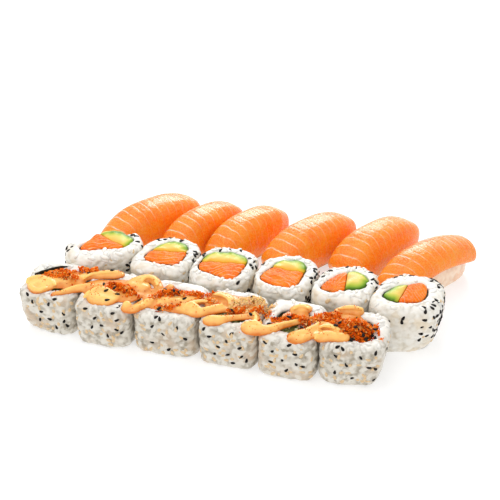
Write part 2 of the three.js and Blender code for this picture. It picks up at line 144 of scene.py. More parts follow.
# A slice's rice from its foot up as (share of its outline, height).
NIGIRI_PROFILE = ((0.9, 0), (0.97, 1.2), (1, 5), (1, 10), (0.93, 15), (0.8, 18.5), (0.6, 20.4),
                  (0.35, RICE_HEIGHT), (0.05, RICE_HEIGHT))
FAT_SPACING = 6.4
SLICE_SIDE, SLICE_END = 0.88, 0.955  # from where a slice's sides and ends are rounded
RIM_OVERHANG = 0.6  # how far grains of the rim lie over the seaweed's edge
SAUCE_LEVEL = 31.0
SAUCE_FLATNESS = 0.62  # half height of a narrow stroke over its half width
SAUCE_THICKEST = 3.0  # a wide stroke is no higher than this
SAUCE_VOXEL = 0.55
SAUCE_STEP, SAUCE_SIDES = 0.7, 16  # spacing of a stroke's rings and how many points each has
BED_LEVEL = 30.7
BED_THICKNESS = 1.2
# Strokes of sauce as (x, y, half width) along each.
SAUCE_STROKES = (
    ((-15, 4, 5.3), (-11, 6, 8), (-6, 8.5, 8.2), (-2, 12.5, 6.4), (4, 16.5, 4.6), (10, 18, 3.8)),
    ((13, 17, 3.2), (16, 22.5, 3.8), (21, 26, 4), (28, 28.5, 4), (35, 30.5, 4.1), (41, 31.5, 3.3)),
    ((3, 0, 1.7), (9, 4.5, 2.5), (16, 9.5, 3.5), (22, 13, 3.5), (28, 16, 2.5), (34, 17, 2.1)),
    ((26, 5, 4.6), (31, 5, 7.2), (37, 6, 8.3), (43, 8.5, 7.4), (47, 10, 4.8)),
    ((51, 1, 3.2), (55, 0, 4.4), (59, 0, 3.7), (62, 4, 4), (66, 8.5, 4), (69, 11.5, 2.7)),
    ((48, 19, 3.6), (50, 26, 4.5), (54, 30.5, 4.5), (59, 32, 3.9), (64, 28.5, 3.2), (68, 22.5, 3.2)),
    ((52, 19.5, 5.5), (57, 22, 5.9), (62, 23.5, 5.5)),
    ((70, 9.5, 4), (76, 13, 4.4), (82, 15, 4.4), (89, 18, 4.2), (95, 21, 3.6)),
    ((71, 26, 2.7), (76, 28.5, 2.7)),
    ((84, 6, 3.6), (88, 8.5, 5.2), (93, 9, 6), (98, 7, 4.8), (105, 10, 3.7), (110, 13, 3.7),
     (115, 16.5, 3.7)),
    ((90, 12.5, 2.3), (93, 16, 1.9), (98, 17.5, 1.8), (103, 18, 1.8)),
    ((101, 24.5, 2.7), (106, 27, 3.4), (110, 27, 3.4), (115, 23, 3.5), (118, 17, 3.4), (116, 11.5, 3)),
    ((104, -0.5, 3.2), (109, 1.5, 5), (114, 3.5, 4.8), (118, 6, 3.2), (124, 9, 2.7), (130, 11.5, 2.7),
     (136, 14.5, 2.5)),
    ((128, 0.5, 4.6), (133, 1, 6), (140, 0.5, 5), (146, 3, 4), (151, 8, 3.5), (158, 13, 3.2),
     (164, 17.5, 2.6)),
    ((134, 13, 2.7), (136, 8, 3), (139, 3.5, 3.3)),
    ((158, -4, 2.7), (161, -1, 5.6), (165, 1, 6), (169, 4.5, 5), (172, 10.5, 4.1), (177, 17.5, 3.2)),
    ((172, 2, 4.6), (177, 4.5, 5.4), (183, 6, 5), (189, 6.5, 4.3), (194, 7, 2.7)),
    ((174, 12, 3.2), (178, 14, 3.6), (184, 12.5, 3.6), (189, 9.5, 3.6)),
    ((154, 21.5, 3.3), (157, 25.5, 4.6), (162, 27, 4.6), (165, 25, 3.8)),
    ((179, 29, 2.7), (184, 32, 3.4), (190, 33, 3.6), (197, 33.5, 3.9)),
)
# Ridges that stand on the wide strokes as (level, places as (x, y, half width)).
SAUCE_RIDGES = (
    (33.1, ((-15.5, 5, 1), (-16.3, 9.5, 1.3), (-12.5, 13, 1.6), (-7, 13, 1.9), (-1, 11, 1.5), (4, 7.5, 1.1))),
    (32.9, ((-13, 3.5, 1.2), (-8, 1, 1.7), (-4, 1.5, 1.6), (-1.5, 5.5, 1.1))),
    (33.2, ((26, 0, 1.1), (26.5, 5, 1.5), (29.5, 10, 1.8), (35.5, 12, 1.8), (41.5, 10, 1.1))),
    (33.6, ((17.5, 17, 1), (21.5, 24.5, 1.5), (30, 28.5, 1.6), (38, 31, 1.2))),
    (33, ((9, 3, 0.9), (13, 7, 1.2), (18.5, 11.5, 1.3), (25.5, 15, 1))),
    (32.9, ((52.5, -1, 1), (53.5, 3, 1.4), (57, 1.5, 1.1))),
    (32.9, ((59.5, -0.5, 1), (62.5, 3, 1.5), (65, 8, 1.4), (69, 10.5, 1))),
    (34, ((54.5, 23.5, 1.2), (56.5, 30, 1.7), (62, 29.5, 1.7), (66.5, 23, 1.3))),
    (33.4, ((90.5, 4.5, 1), (90.5, 10, 1.4), (94, 14, 1.5), (98.5, 16, 1.4), (102.5, 16.5, 1))),
    (33.5, ((93.5, 12.5, 1), (97, 10, 1.4), (100.5, 7.5, 1.5), (105, 10.5, 1.5), (109, 13.5, 1.4),
            (112.5, 16.5, 1))),
    (33.6, ((102.5, 23.5, 1), (109, 24.5, 1.6), (114.5, 21, 1.5), (116.5, 16, 1))),
    (32.9, ((104, -1, 1), (108, 2.5, 1.5), (114, 4, 1.4), (119.5, 6, 1))),
    (33.2, ((128.5, -1, 1.1), (131.5, 2.5, 1.6), (136, 4.5, 1.8), (141, 2, 1.6), (146, 2.5, 1.4),
            (151, 6.5, 1.3), (156, 10, 1.2), (160.5, 14, 1))),
    (33.2, ((132, 14, 1), (135, 9.5, 1.3), (136, 5.5, 1.2))),
    (33.3, ((158, -4.5, 1), (162, 0.5, 1.6), (167, 4, 1.7), (171, 9, 1.5), (173.5, 15, 1))),
    (33.3, ((173.5, -1, 1.1), (176.5, 3, 1.6), (180.5, 6, 1.7), (186.5, 6, 1.1))),
    (34, ((174, 8, 1), (177, 11.5, 1.5), (181.5, 11.5, 1.6), (187.5, 10, 1.1))),
    (34, ((155.5, 21, 1), (156.8, 24.5, 1.5), (161, 26.5, 1.7), (165.5, 24, 1.1))),
    (34, ((181, 28.5, 1), (185.5, 31.5, 1.5), (191.5, 33, 1.6), (197, 32, 1.1))),
)
# A thin layer of it that the strokes lie in, in the same terms.
SAUCE_BEDS = (
    ((-14, 8, 6), (-8, 13, 8), (2, 17, 10), (11, 19, 10), (19, 21, 9)),
    ((19, 14, 7), (29, 14, 10), (38, 14, 12), (48, 16, 12), (60, 14, 12)),
    ((60, 14, 12), (74, 15, 12), (88, 15, 12), (97, 17, 10)),
    ((100, 16, 9), (107, 20, 9), (117, 21, 9), (128, 21, 9), (137, 20, 7)),
    ((150, 14, 5), (158, 19, 6), (166, 20, 7)),
    ((172, 14, 8), (180, 17, 12), (190, 20, 12), (200, 19, 10)),
)
# Trails of crumbs as (height, how light they are, places as (x, y, half width)).
CRUMB_TRAILS = (
    (2.4, 0.6, ((-6, 19, 3), (-2, 20.5, 4.6), (3, 20, 5.4), (8, 18.5, 4.4), (12, 18, 2.6))),
    (1.2, 0.6, ((-8, 18.5, 1.2), (-3.5, 23, 1.6), (1, 25.5, 2), (5, 25.5, 1.8))),
    (2.6, 0.6, ((9, 28.5, 2.8), (14, 30, 4), (19, 30, 4), (23, 28.5, 2.4))),
    (2.2, 0.5, ((34, 18, 2), (40, 17.5, 3.4), (45, 16, 4.2), (50, 15.5, 4), (55, 13.5, 2.6))),
    (2.4, 0.6, ((68, 13, 2), (71, 17, 3.2), (77, 19.5, 4.4), (83, 20, 4.4), (89, 21, 4.2), (95, 22.5, 4),
                (101, 22.5, 3))),
    (1.2, 0.6, ((73, 4.5, 2), (78, 6.5, 2.4), (84, 8, 2))),
    (1.4, 0.7, ((101.5, 19, 1.9), (106, 18.5, 2.6), (110.5, 17, 1.8))),
    (1.8, 0.55, ((119, 12, 2.4), (123, 14.5, 3.4), (127, 18, 3))),
    (3.4, 1.5, ((121, 16, 3.6), (124, 21, 5.6), (129, 24.5, 6), (134, 24, 5.8), (139, 20, 4.4))),
    (2.4, 0.6, ((131, 16.5, 2), (136, 18, 3.2), (142, 16.5, 2.6))),
    (1.8, 0.42, ((145, 13, 2.4), (149.5, 13.5, 3), (154, 12.5, 2.6))),
    (2.0, 0.5, ((155, 15.5, 2.6), (160, 15, 3.6), (164, 13, 3))),
    (2.8, 0.55, ((166, 14.5, 2.6), (170.5, 19, 4), (176, 21.5, 4.6), (181, 21.5, 4.6), (185, 18, 3.6))),
    (3.6, 0.55, ((187.5, 16, 4.6), (193, 17, 7), (199, 17.5, 7.8), (205, 18, 6))),
    (2.6, 0.35, ((192, 11, 2.6), (198, 10.5, 4), (204, 13, 3.6))),
)
CRUMB_DENSITY = 4  # crumbs to a square millimetre of trail
CLUMP = 11  # crumbs that lie close together
# A dark trail is less light than this. Shares of dark crumbs in it and in the others.
DARK_TRAIL, MANY_DARK, FEW_DARK = 0.42, 0.035, 0.012
FLECK, BIG_FLECK = (1.4, 0.8, 0.4), (1.9, 1.3, 0.7)
FLECK_TONE = 0.24
# Dark seeds and flakes that lie on the sauce and crumbs.
TOP_SEEDS = (
    (19, 24), (32, 18), (33, 30), (37, 10), (41, 2), (45, 9), (41, 14), (49, 0), (72, 22), (79, 19),
    (82, 20), (87, 16), (75, 3), (118, 13), (131, 12), (144, 8), (145, 14), (149, 18), (155, 13), (164, 8),
    (184, 12), (186, 15), (195, 7), (195.5, 14), (196.5, 16), (199, 13), (201, 11), (207, 17), (208, 12),
    (206, 14.5), (203, 9),
)
CHILI_FLECKS = ((58, 11), (104, 12), (13, 12), (138, 6), (86, 12))
SEED = (1.35, 0.74, 0.5)  # half length, half width and half thickness of a sesame seed
SEED_SPACING = 2.3  # seeds of one group are no closer
SEAWEED = 0.5  # the sheet as it shows at the plain rolls' rims
# Black seeds on the topped rolls' fronts as (x from the roll's middle, height).
FRONT_SEEDS = (
    ((-11, 29), (-7, 23), (9, 28), (5, 23), (-1, 16), (14, 17), (-3, 10), (4, 12), (14, 11), (17, 8), (8, 6)),
    ((-9, 28), (9, 28), (-3, 21), (12, 22), (-5, 14), (2, 16), (12, 15), (15, 12), (5, 9)),
    ((-4, 30), (-1, 28), (-6, 21), (10, 23), (1, 16), (16, 15), (-7, 9), (5, 6)),
    ((-14, 26), (-10, 21), (5, 26), (1, 20), (-4, 15), (10, 16), (-6, 9), (2, 10), (11, 10), (14, 7), (5, 4)),
    ((-13, 25), (-7, 19), (3, 26), (7, 20), (-8, 12), (-1, 14), (8, 13), (12, 11), (2, 7)),
    ((-7, 30), (-4, 28), (-8, 21), (7, 23), (-1, 16), (18, 31), (-8, 10), (13, 16), (17, 16), (3, 6)),
)
# Black seeds on each plain roll in groups as (angle round it, how far they spread from it,
# lowest and highest level, count), angles in degrees from +X.
PLAIN_SEEDS = (
    ((200, 14, 22, 34, 6), (38, 25, 27, 36, 9), (-22, 10, 20, 30, 4)),
    ((120, 20, 33, 36, 4), (5, 16, 27, 36, 9), (-25, 10, 17, 30, 5), (-52, 9, 14, 21, 4)),
    ((150, 20, 32, 36, 4), (18, 16, 32, 36, 7), (-35, 12, 10, 22, 9), (-60, 10, 26, 31, 2)),
    ((155, 18, 27, 36, 9), (4, 24, 24, 36, 17), (-30, 16, 8, 27, 20), (-60, 8, 8, 12, 2)),
    ((165, 22, 20, 36, 14), (-115, 10, 18, 24, 1), (10, 16, 22, 36, 9), (-22, 12, 12, 30, 6)),
    ((-38, 26, 10, 36, 30), (12, 26, 18, 36, 16), (80, 35, 34, 36, 6), (-95, 10, 22, 28, 2),
     (150, 25, 30, 36, 5)),
)
# The same on the sides that the photo doesn't show.
HIDDEN_SEEDS = ((90, 45, 8, 34, 11), (5, 30, 5, 20, 6), (180, 30, 5, 20, 6))
DIPPED = 0.93  # tops are lower in front, so a group starts at this share of its lowest level
# Where the skin side of each roll's avocado is, in degrees.
AVOCADO_SKIN = (80, 45, 80, 40, -70, 200)
GOLDEN = (0.5, 0.8, 0.8, 0.8, 0.1, 0.25)  # how golden each one is along the parting
REAR_DROP = 1.4  # how much lower a plain roll's rim is behind
# The free end of the first topped roll's seaweed as (x, y, top).
SEAWEED_EDGE = ((-15.8, 17, 30.5), (-12, 21.5, 31.2), (-6.5, 26.2, 31.4), (-1, 30, 31.4), (3, 31.5, 31.3))
BARE_SIDE = np.array((-0.5, 0.866))  # where the first plain roll's rice lies lower than its filling
# Toasted seeds that show on plain rolls' fronts as (x from the roll's middle, height).
PALE_PATCHES = {
    1: ((-5, 29), (2, 16), (9, 14)),
    2: ((-11, 22), (-1, 17), (2, 15), (6, 12), (9, 12)),
    4: ((-8, 30),),
}
# Sizes of the seeds against SEED: black on the fronts and on the plain rolls, black on the sauce, pale
# on the fronts, elsewhere on the topped and on the plain rolls, and placed.
FRONT_BLACK, PLAIN_BLACK, TOP_BLACK = 1.25, 1.35, 1.3
FRONT_PALE, TOPPED_PALE, PLAIN_PALE, PLACED_PALE = 1.45, 1.1, 1.2, 1.7
PALE_SINK = 0.3  # how deep the pale ones lie in the rice


def shift_to_part():
    """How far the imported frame's origin is from the layout's, found from the first roll's seaweed."""
    left = TOPPED_CUTS[0] + GAP
    right = TOPPED_CUTS[1] - GAP
    low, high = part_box("topped_1_nori")
    middle = ((low[0] + high[0]) * 500, (low[1] + high[1]) * 500)
    at = ((left + right) / 2, (TOPPED_FRONTS[0] + TOPPED_BACK) / 2)
    return np.array((at[0] - middle[0], at[1] - middle[1], 0))


SHIFT = shift_to_part()


def metres(points):
    return (np.asarray(points, float) - SHIFT) / 1000


def new_object(name, data):
    made = bpy.data.objects.new(name, data)
    bpy.context.collection.objects.link(made)
    return made


# --- mesh helpers


def make_piece(name, points, faces, slot, look, replaced=(), **attributes):
    """A smooth piece on the root body from its points in millimetres and its faces."""
    mesh = bpy.data.meshes.new(name)
    mesh.from_pydata(metres(points).tolist(), [], faces)
    mesh.polygons.foreach_set("use_smooth", np.ones(len(mesh.polygons), bool))
    for key, values in attributes.items():
        values = np.asarray(values, np.float32)
        kind = "FLOAT" if values.ndim == 1 else "FLOAT_COLOR"
        field = "value" if values.ndim == 1 else "color"
        mesh.attributes.new(key, kind, "POINT").data.foreach_set(field, values.ravel())
    mesh.materials.append(look)
    mesh.update()
    piece = new_object(name, mesh)
    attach(piece, "root")
    if replaced:
        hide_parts(*replaced)
    return piece


def grid_faces(rows, columns, closed_rows=False, closed_columns=True):
    """Quads of a grid of points numbered row by row."""
    r = np.arange(rows if closed_rows else rows - 1)
    c = np.arange(columns if closed_columns else columns - 1)
    r, c = np.meshgrid(r, c, indexing="ij")
    r2, c2 = (r + 1) % rows, (c + 1) % columns
    quads = np.stack((r * columns + c, r * columns + c2, r2 * columns + c2, r2 * columns + c), -1)
    return quads.reshape(-1, 4).tolist()


def tube_faces(rows, columns):
    """Faces of a stack of rings that is closed at both ends."""
    first = list(range(columns))
    return grid_faces(rows, columns) + [first[::-1], [(rows - 1) * columns + i for i in first]]


def domed_faces(rows, columns):
    """Faces of a stack of rings, the first of which is filled and the last joined to one more point."""
    last, hub = (rows - 1) * columns, rows * columns
    fan = [[last + i, last + (i + 1) % columns, hub] for i in range(columns)]
    return grid_faces(rows, columns) + fan + [list(range(columns))[::-1]]


def joined(points, faces, more_points, more_faces):
    """Two meshes as one."""
    moved = [[k + len(points) for k in face] for face in more_faces]
    return np.vstack((points, more_points)), faces + moved


def evenly(count):
    """Angles evenly spaced round a full turn."""
    return np.arange(count) / count * 2 * math.pi


def polar(radius, angles, level):
    """Points at a radius, an angle and a level."""
    return np.stack(np.broadcast_arrays(radius * np.cos(angles), radius * np.sin(angles), level), -1)


def smooth_curve(points, samples, closed=False):
    """Points along a centripetal Catmull-Rom curve, which measures its steps in the plan."""
    points = np.asarray(points, float)
    if closed:
        padded = np.vstack((points[-1:], points, points[:2]))
    else:
        padded = np.vstack((2 * points[:1] - points[1:2], points, 2 * points[-1:] - points[-2:-1]))
    t = np.linspace(0, 1, max(2, samples // (len(padded) - 3)), endpoint=False)[:, None]
    parts = []
    for p0, p1, p2, p3 in zip(padded, padded[1:], padded[2:], padded[3:]):
        a, b, c = (np.linalg.norm((q - p)[:2]) ** 0.5 for p, q in ((p0, p1), (p1, p2), (p2, p3)))
        leave = ((p1 - p0) / a - (p2 - p0) / (a + b) + (p2 - p1) / b) * b
        arrive = ((p2 - p1) / b - (p3 - p1) / (b + c) + (p3 - p2) / c) * b
        parts.append(
            (2 * t**3 - 3 * t**2 + 1) * p1
            + (t**3 - 2 * t**2 + t) * leave
            + (3 * t**2 - 2 * t**3) * p2
            + (t**3 - t**2) * arrive
        )
    if not closed:
        parts.append(points[-1:])
    return np.vstack(parts)


def resample(points, spacing=None, count=None, closed=False):
    """Points evenly spaced along a line of points."""
    points = np.asarray(points, float)
    if closed:
        points = np.vstack((points, points[:1]))
    lengths = np.concatenate(((0,), np.cumsum(np.linalg.norm(np.diff(points, axis=0), axis=1))))
    count = count or max(3, round(lengths[-1] / spacing))
    at = np.linspace(0, lengths[-1], count, endpoint=not closed)
    return np.stack([np.interp(at, lengths, points[:, k]) for k in range(points.shape[1])], -1)


def profile(corners, width, samples, spacing):
    """Evenly spaced points of a smooth line through corners given as (share of the width, height)."""
    scaled = [(across * width, z) for across, z in corners]
    line = resample(smooth_curve(scaled, samples), spacing=spacing)
    line[:, 0] /= width
    return line


def flat(plan):
    """Points of the plan at level 0."""
    return np.column_stack((plan, np.zeros(len(plan))))


def squircle(half, squareness, turn=0.0):
    """A rounded rectangle's radius at an angle."""

    def radius(angle):
        c = np.abs(np.cos(angle - turn)) / half[0]
        s = np.abs(np.sin(angle - turn)) / half[1]
        return (c**squareness + s**squareness) ** (-1 / squareness)

    return radius


def pressed_corners(outline, front_left, back_left, front_right):
    """The outline with three of its corners pressed out or in, as a roll's neighbours do."""

    def share(angle, corner):
        return np.maximum(0, np.cos(angle - corner * math.pi)) ** 8

    def radius(angle):
        pressed = outline(angle) + front_left * share(angle, FRONT_LEFT)
        return pressed - back_left * share(angle, BACK_LEFT) - front_right * share(angle, FRONT_RIGHT)

    return radius


def smooth_outline(points):
    """The radius at an angle of a smooth closed curve through points."""
    curve = smooth_curve(points, OUTLINE_POINTS, closed=True)
    angles = np.arctan2(curve[:, 1], curve[:, 0])
    order = np.argsort(angles)
    angles, radii = angles[order], np.hypot(curve[:, 0], curve[:, 1])[order]

    def radius(angle):
        wrapped = np.arctan2(np.sin(angle), np.cos(angle))
        return np.interp(wrapped, angles, radii, period=2 * math.pi)

    return radius


def smoothstep(x, low, high):
    t = np.clip((x - low) / (high - low), 0, 1)
    return t * t * (3 - 2 * t)


def lumps(points, size, seed):
    """Smooth noise from about -1 to 1 over points, with features of about a size."""
    random = np.random.default_rng(seed)
    total = np.zeros(len(points))
    for _ in range(10):
        direction = random.normal(size=3)
        direction *= random.uniform(0.6, 1.5) / np.linalg.norm(direction)
        total += np.sin(points @ direction * 2 * math.pi / size + random.uniform(0, 2 * math.pi))
    return total / 4


def dipped(points, reach, height, front, back):
    """The points lowered by some towards the front and by some at the back left."""
    forward = np.clip((reach - points[:, 1]) / (2 * reach), 0, 1)
    behind = smoothstep(points[:, 1] - 0.6 * points[:, 0], 6, 16)
    out = points.copy()
    out[:, 2] *= 1 - (front * forward + back * behind) / height
    return out


def ball(subdivisions):
    """Unit ball's points and triangles."""
    sphere = bmesh.new()
    bmesh.ops.create_icosphere(sphere, subdivisions=subdivisions, radius=1)
    points = np.array([v.co[:] for v in sphere.verts])
    faces = np.array([[v.index for v in f.verts] for f in sphere.faces])
    sphere.free()
    return points, faces


BALL_20 = ball(1)
BALL_80 = ball(2)


def tangents(normal, angle):
    """Two directions across a normal, the first turned by an angle from level."""
    normal = normal / np.linalg.norm(normal)
    level = np.cross((0, 0, 1), normal)
    if np.linalg.norm(level) < 0.1:
        level = np.array((1.0, 0, 0))
    level /= np.linalg.norm(level)
    rise = np.cross(normal, level)
    first = math.cos(angle) * level + math.sin(angle) * rise
    return first, np.cross(normal, first), normal


class Heap:
    """Many small shapes joined in one mesh."""

    def __init__(self):
        self.points, self.faces, self.values, self.count = [], [], [], 0

    def add(self, points, faces, value):
        self.points.append(points)
        self.faces.extend((faces + self.count).tolist())
        self.values.append(np.full(len(points), value))
        self.count += len(points)

    def all(self):
        return np.vstack(self.points), self.faces, np.concatenate(self.values)


class Tops:
    """How high the topped rolls and what lies on them reach, over the plan."""

    STEP = 0.7
    LOW = np.array((-32.0, -14.0))

    def __init__(self):
        self.level = np.full((380, 90), -1.0)

    def add(self, points):
        cells = np.floor((points[:, :2] - self.LOW) / self.STEP).astype(int)
        inside = np.all((cells >= 1) & (cells < np.array(self.level.shape) - 1), axis=1)
        np.maximum.at(self.level, tuple(cells[inside].T), points[inside, 2])

    def at(self, plan):
        cells = np.floor((plan - self.LOW) / self.STEP).astype(int)
        cells = np.clip(cells, 1, np.array(self.level.shape) - 2)
        around = [self.level[cells[:, 0] + i, cells[:, 1] + j] for i in (-1, 0, 1) for j in (-1, 0, 1)]
        around = np.sort(np.stack(around), axis=0)
        return np.where(self.level[tuple(cells.T)] > 0, self.level[tuple(cells.T)], around[-1])


tops = Tops()

# --- materials


class Look:
    """A material with Blender's principled shader and short names for what feeds it."""

    def __init__(self, name, **sockets):
        self.material = bpy.data.materials.new(name)
        self.material.use_nodes = True
        self.tree = self.material.node_tree
        self.shader = self.tree.nodes["Principled BSDF"]
        for key, value in sockets.items():
            self.shader.inputs[key.replace("_", " ")].default_value = value
        self.place = self.node("ShaderNodeTexCoord", {}).outputs["Object"]

    def put(self, socket, value):
        """Links a socket to another node's value, or sets it to a plain one."""
        if isinstance(value, bpy.types.NodeSocket):
            self.tree.links.new(value, socket)
        else:
            socket.default_value = value

    def node(self, kind, inputs, **properties):
        made = self.tree.nodes.new(kind)
        for key, value in properties.items():
            setattr(made, key, value)
        for key, value in inputs.items():
            self.put(made.inputs[key], value)
        return made

    def attribute(self, name):
        return self.node("ShaderNodeAttribute", {}, attribute_name=name).outputs["Fac"]

    def noise(self, size, detail=2.0, roughness=0.5):
        """Noise with features of about a size in millimetres."""
        inputs = {"Vector": self.place, "Scale": 1000 / size, "Detail": detail, "Roughness": roughness}
        return self.node("ShaderNodeTexNoise", inputs).outputs["Fac"]

    def ramp(self, value, *stops):
        """A colour ramp over a value, its stops as (position, colour)."""
        made = self.node("ShaderNodeValToRGB", {"Fac": value})
        elements = made.color_ramp.elements
        while len(elements) < len(stops):
            elements.new(0.5)
        for element, (position, colour) in zip(elements, stops):
            element.position = position
            element.color = (*colour, 1)
        return made.outputs["Color"]

    def mix(self, factor, a, b):
        a, b = ((*value, 1) if isinstance(value, tuple) else value for value in (a, b))
        return self.node("ShaderNodeMix", {0: factor, 6: a, 7: b}, data_type="RGBA").outputs[2]

    def math(self, operation, *values, clamp=False):
        inputs = dict(enumerate(values))
        return self.node("ShaderNodeMath", inputs, operation=operation, use_clamp=clamp).outputs[0]

    def times(self, *values, clamp=False):
        return self.math("MULTIPLY", *values, clamp=clamp)

    def span(self, value, low, high, to_low=0.0, to_high=1.0):
        inputs = {"Value": value, "From Min": low, "From Max": high, "To Min": to_low, "To Max": to_high}
        return self.node("ShaderNodeMapRange", inputs).outputs["Result"]

    def feed(self, socket, value):
        self.tree.links.new(value, self.shader.inputs[socket])

    def bump(self, height, distance, strength=1.0):
        """Relief of a height in millimetres."""
        inputs = {"Height": height, "Distance": distance / 1000, "Strength": strength}
        made = self.node("ShaderNodeBump", inputs)
        self.feed("Normal", made.outputs["Normal"])


def translucent(look, weight, radius, depth):
    look.shader.inputs["Subsurface Weight"].default_value = weight
    look.shader.inputs["Subsurface Radius"].default_value = radius
    look.shader.inputs["Subsurface Scale"].default_value = depth / 1000


def rice_look(name, light, shade, blush, hollow, crease_shade_strength, rim):
    """Cooked rice, darker in the creases between its grains as painted shade. The rim is the level in mm
    above which it is lighter as painted light on its top, and how much.
    """
    look = Look(name, Roughness=0.36, IOR=1.4, Coat_Weight=0.28, Coat_Roughness=0.2)
    translucent(look, 0.35, (1.0, 0.95, 0.88), 1.0)
    colour = look.mix(look.span(look.noise(4, 2), 0.38, 0.62), light, shade)
    colour = look.mix(look.span(look.noise(15, 1), 0.52, 0.7), colour, blush)
    colour = look.mix(look.span(look.attribute("tone"), 0.3, 0.8, 0.0, 0.85), colour, light)
    # Painted shade: darker where the skin lies deep between grains.
    colour = look.mix(look.times(look.attribute("hollow"), crease_shade_strength), colour, hollow)
    # Painted light: lighter above the rim level, as on tops lit from above.
    level = look.node("ShaderNodeSeparateXYZ", {"Vector": look.place}).outputs["Z"]
    painted_top_light = look.span(level, rim[0] / 1000, (rim[0] + 4) / 1000, 0, rim[1])
    look.feed("Base Color", look.mix(painted_top_light, colour, (0.93, 0.9, 0.84)))
    look.bump(look.noise(1.8, 2), 0.1, 0.4)
    return look.material


def nori_look():
    look = Look("nori_sheet", IOR=1.45)
    fibres = look.noise(1.2, 4, 0.65)
    look.feed("Base Color", look.ramp(fibres, (0.35, (0.006, 0.008, 0.006)), (0.7, (0.03, 0.04, 0.024))))
    look.feed("Roughness", look.span(fibres, 0.3, 0.7, 0.35, 0.6))
    look.bump(fibres, 0.25)
    return look.material


def salmon_look(name, line_width, flesh, warm, speckled, fat_colour, fat_share, shine, gloss, depth):
    """Raw salmon: pale fat lines along the attribute 'line', fine speckle between them. Shine and gloss
    are its own and its wet coat's, and depth is how much light goes into it."""
    look = Look(name, IOR=1.38, Specular_IOR_Level=shine, Coat_Weight=gloss, Coat_Roughness=0.14)
    look.shader.inputs["Coat IOR"].default_value = 1.4
    translucent(look, depth, (1.0, 0.3, 0.05), 2.2)
    line = look.math("ADD", look.attribute("line"), look.span(look.noise(8, 2), 0, 1, -0.13, 0.13))
    ripple = look.math("PINGPONG", line, 0.5)
    fat = look.span(ripple, line_width, 0.02)
    fat = look.times(fat, look.span(look.noise(5, 3), 0.36, 0.56, 0.15, 1), clamp=True)
    fat = look.times(fat, look.attribute("strong"), clamp=True)
    speckle = look.span(look.noise(1.1, 3, 0.7), 0.46, 0.62)
    colour = look.mix(look.span(look.noise(12, 2), 0.35, 0.65), flesh, warm)
    colour = look.mix(look.times(speckle, 0.6), colour, speckled)
    # Paler by the attribute 'pale', which on the slices holds painted light on their lit side and a painted
    # highlight along the crest.
    colour = look.mix(look.times(look.attribute("pale"), 0.6), colour, (1.0, 0.42, 0.16))
    look.feed("Base Color", look.mix(look.times(fat, fat_share), colour, fat_colour))
    look.feed("Roughness", look.span(speckle, 0, 1, 0.25, 0.4))
    rough = look.span(look.noise(2.2, 3), 0, 1, 0, 1.1)
    look.bump(look.math("SUBTRACT", rough, look.times(fat, 0.4)), 0.8)
    return look.material


def avocado_look():
    """Yellow inside, green and dark green towards the skin side, by the attribute 'skin' in mm, and
    golden along the parting, by 'seam'."""
    look = Look("avocado_flesh", Roughness=0.38, IOR=1.38, Specular_IOR_Level=0.3, Coat_Weight=0.06)
    translucent(look, 0.1, (1.0, 0.9, 0.2), 1.5)
    depth = look.math("ADD", look.attribute("skin"), look.span(look.noise(5, 2), 0, 1, -0.7, 0.7))
    stops = ((0.0, (0.07, 0.17, 0.008)), (0.12, (0.2, 0.37, 0.018)), (0.34, (0.5, 0.55, 0.06)),
             (0.62, (0.82, 0.65, 0.16)), (1.0, (0.87, 0.54, 0.15)))
    colour = look.ramp(look.span(depth, 0, 9), *stops)
    look.feed("Base Color", look.mix(look.attribute("seam"), colour, (0.83, 0.43, 0.008)))
    look.bump(look.noise(2.5, 3), 0.3, 0.6)
    return look.material


def filling_look():
    look = Look("mixed_filling", Roughness=0.4, IOR=1.4)
    translucent(look, 0.15, (1.0, 0.8, 0.5), 1.2)
    stops = ((0.0, (0.05, 0.08, 0.015)), (0.3, (0.2, 0.25, 0.05)), (0.45, (0.5, 0.52, 0.16)),
             (0.6, (0.75, 0.72, 0.42)), (0.75, (0.8, 0.42, 0.3)), (0.9, (0.62, 0.3, 0.24)))
    colour = look.ramp(look.attribute("tone"), *stops)
    stain = look.times(look.noise(1.5, 3), 0.5)
    look.feed("Base Color", look.mix(stain, colour, (0.25, 0.2, 0.08)))
    look.bump(look.noise(1.3, 3), 0.3)
    return look.material


def sauce_look():
    look = Look("piped_sauce", IOR=1.45, Specular_IOR_Level=0.35, Coat_Weight=0.18, Coat_Roughness=0.2)
    translucent(look, 0.25, (1.0, 0.6, 0.25), 2.0)
    uneven = look.span(look.noise(6, 2), 0.3, 0.7, -0.2, 0.2)
    # Painted light and shade: lighter on the ridges' tops, darker orange in the low parts.
    high = look.math("ADD", look.attribute("high"), uneven, clamp=True)
    warm = look.mix(high, (0.68, 0.17, 0.01), (1.0, 0.6, 0.17))
    fleck = look.span(look.noise(1.5, 2, 0.6), 0.68, 0.74)
    look.feed("Base Color", look.mix(look.times(fleck, 0.65), warm, (0.85, 0.16, 0.03)))
    look.feed("Roughness", look.span(look.noise(5, 2), 0.3, 0.7, 0.25, 0.38))
    look.bump(look.noise(3.0, 2), 0.3, 0.5)
    return look.material


def crumb_look():
    look = Look("orange_crumbs", Roughness=0.85, Specular_IOR_Level=0.05)
    translucent(look, 0.25, (1.0, 0.3, 0.05), 1.0)
    stops = ((0.0, (0.02, 0.02, 0.008)), (0.08, (0.04, 0.03, 0.01)), (0.14, (0.36, 0.03, 0.002)),
             (0.4, (0.84, 0.12, 0.003)), (0.7, (1.0, 0.23, 0.013)), (0.85, (1.0, 0.4, 0.08)),
             (1.0, (1.0, 0.7, 0.32)))
    colour = look.ramp(look.attribute("tone"), *stops)
    dusky = look.times(look.noise(0.8, 2), 0.2)
    look.feed("Base Color", look.mix(dusky, colour, (0.6, 0.06, 0.004)))
    look.bump(look.noise(0.6, 2), 0.15)
    return look.material


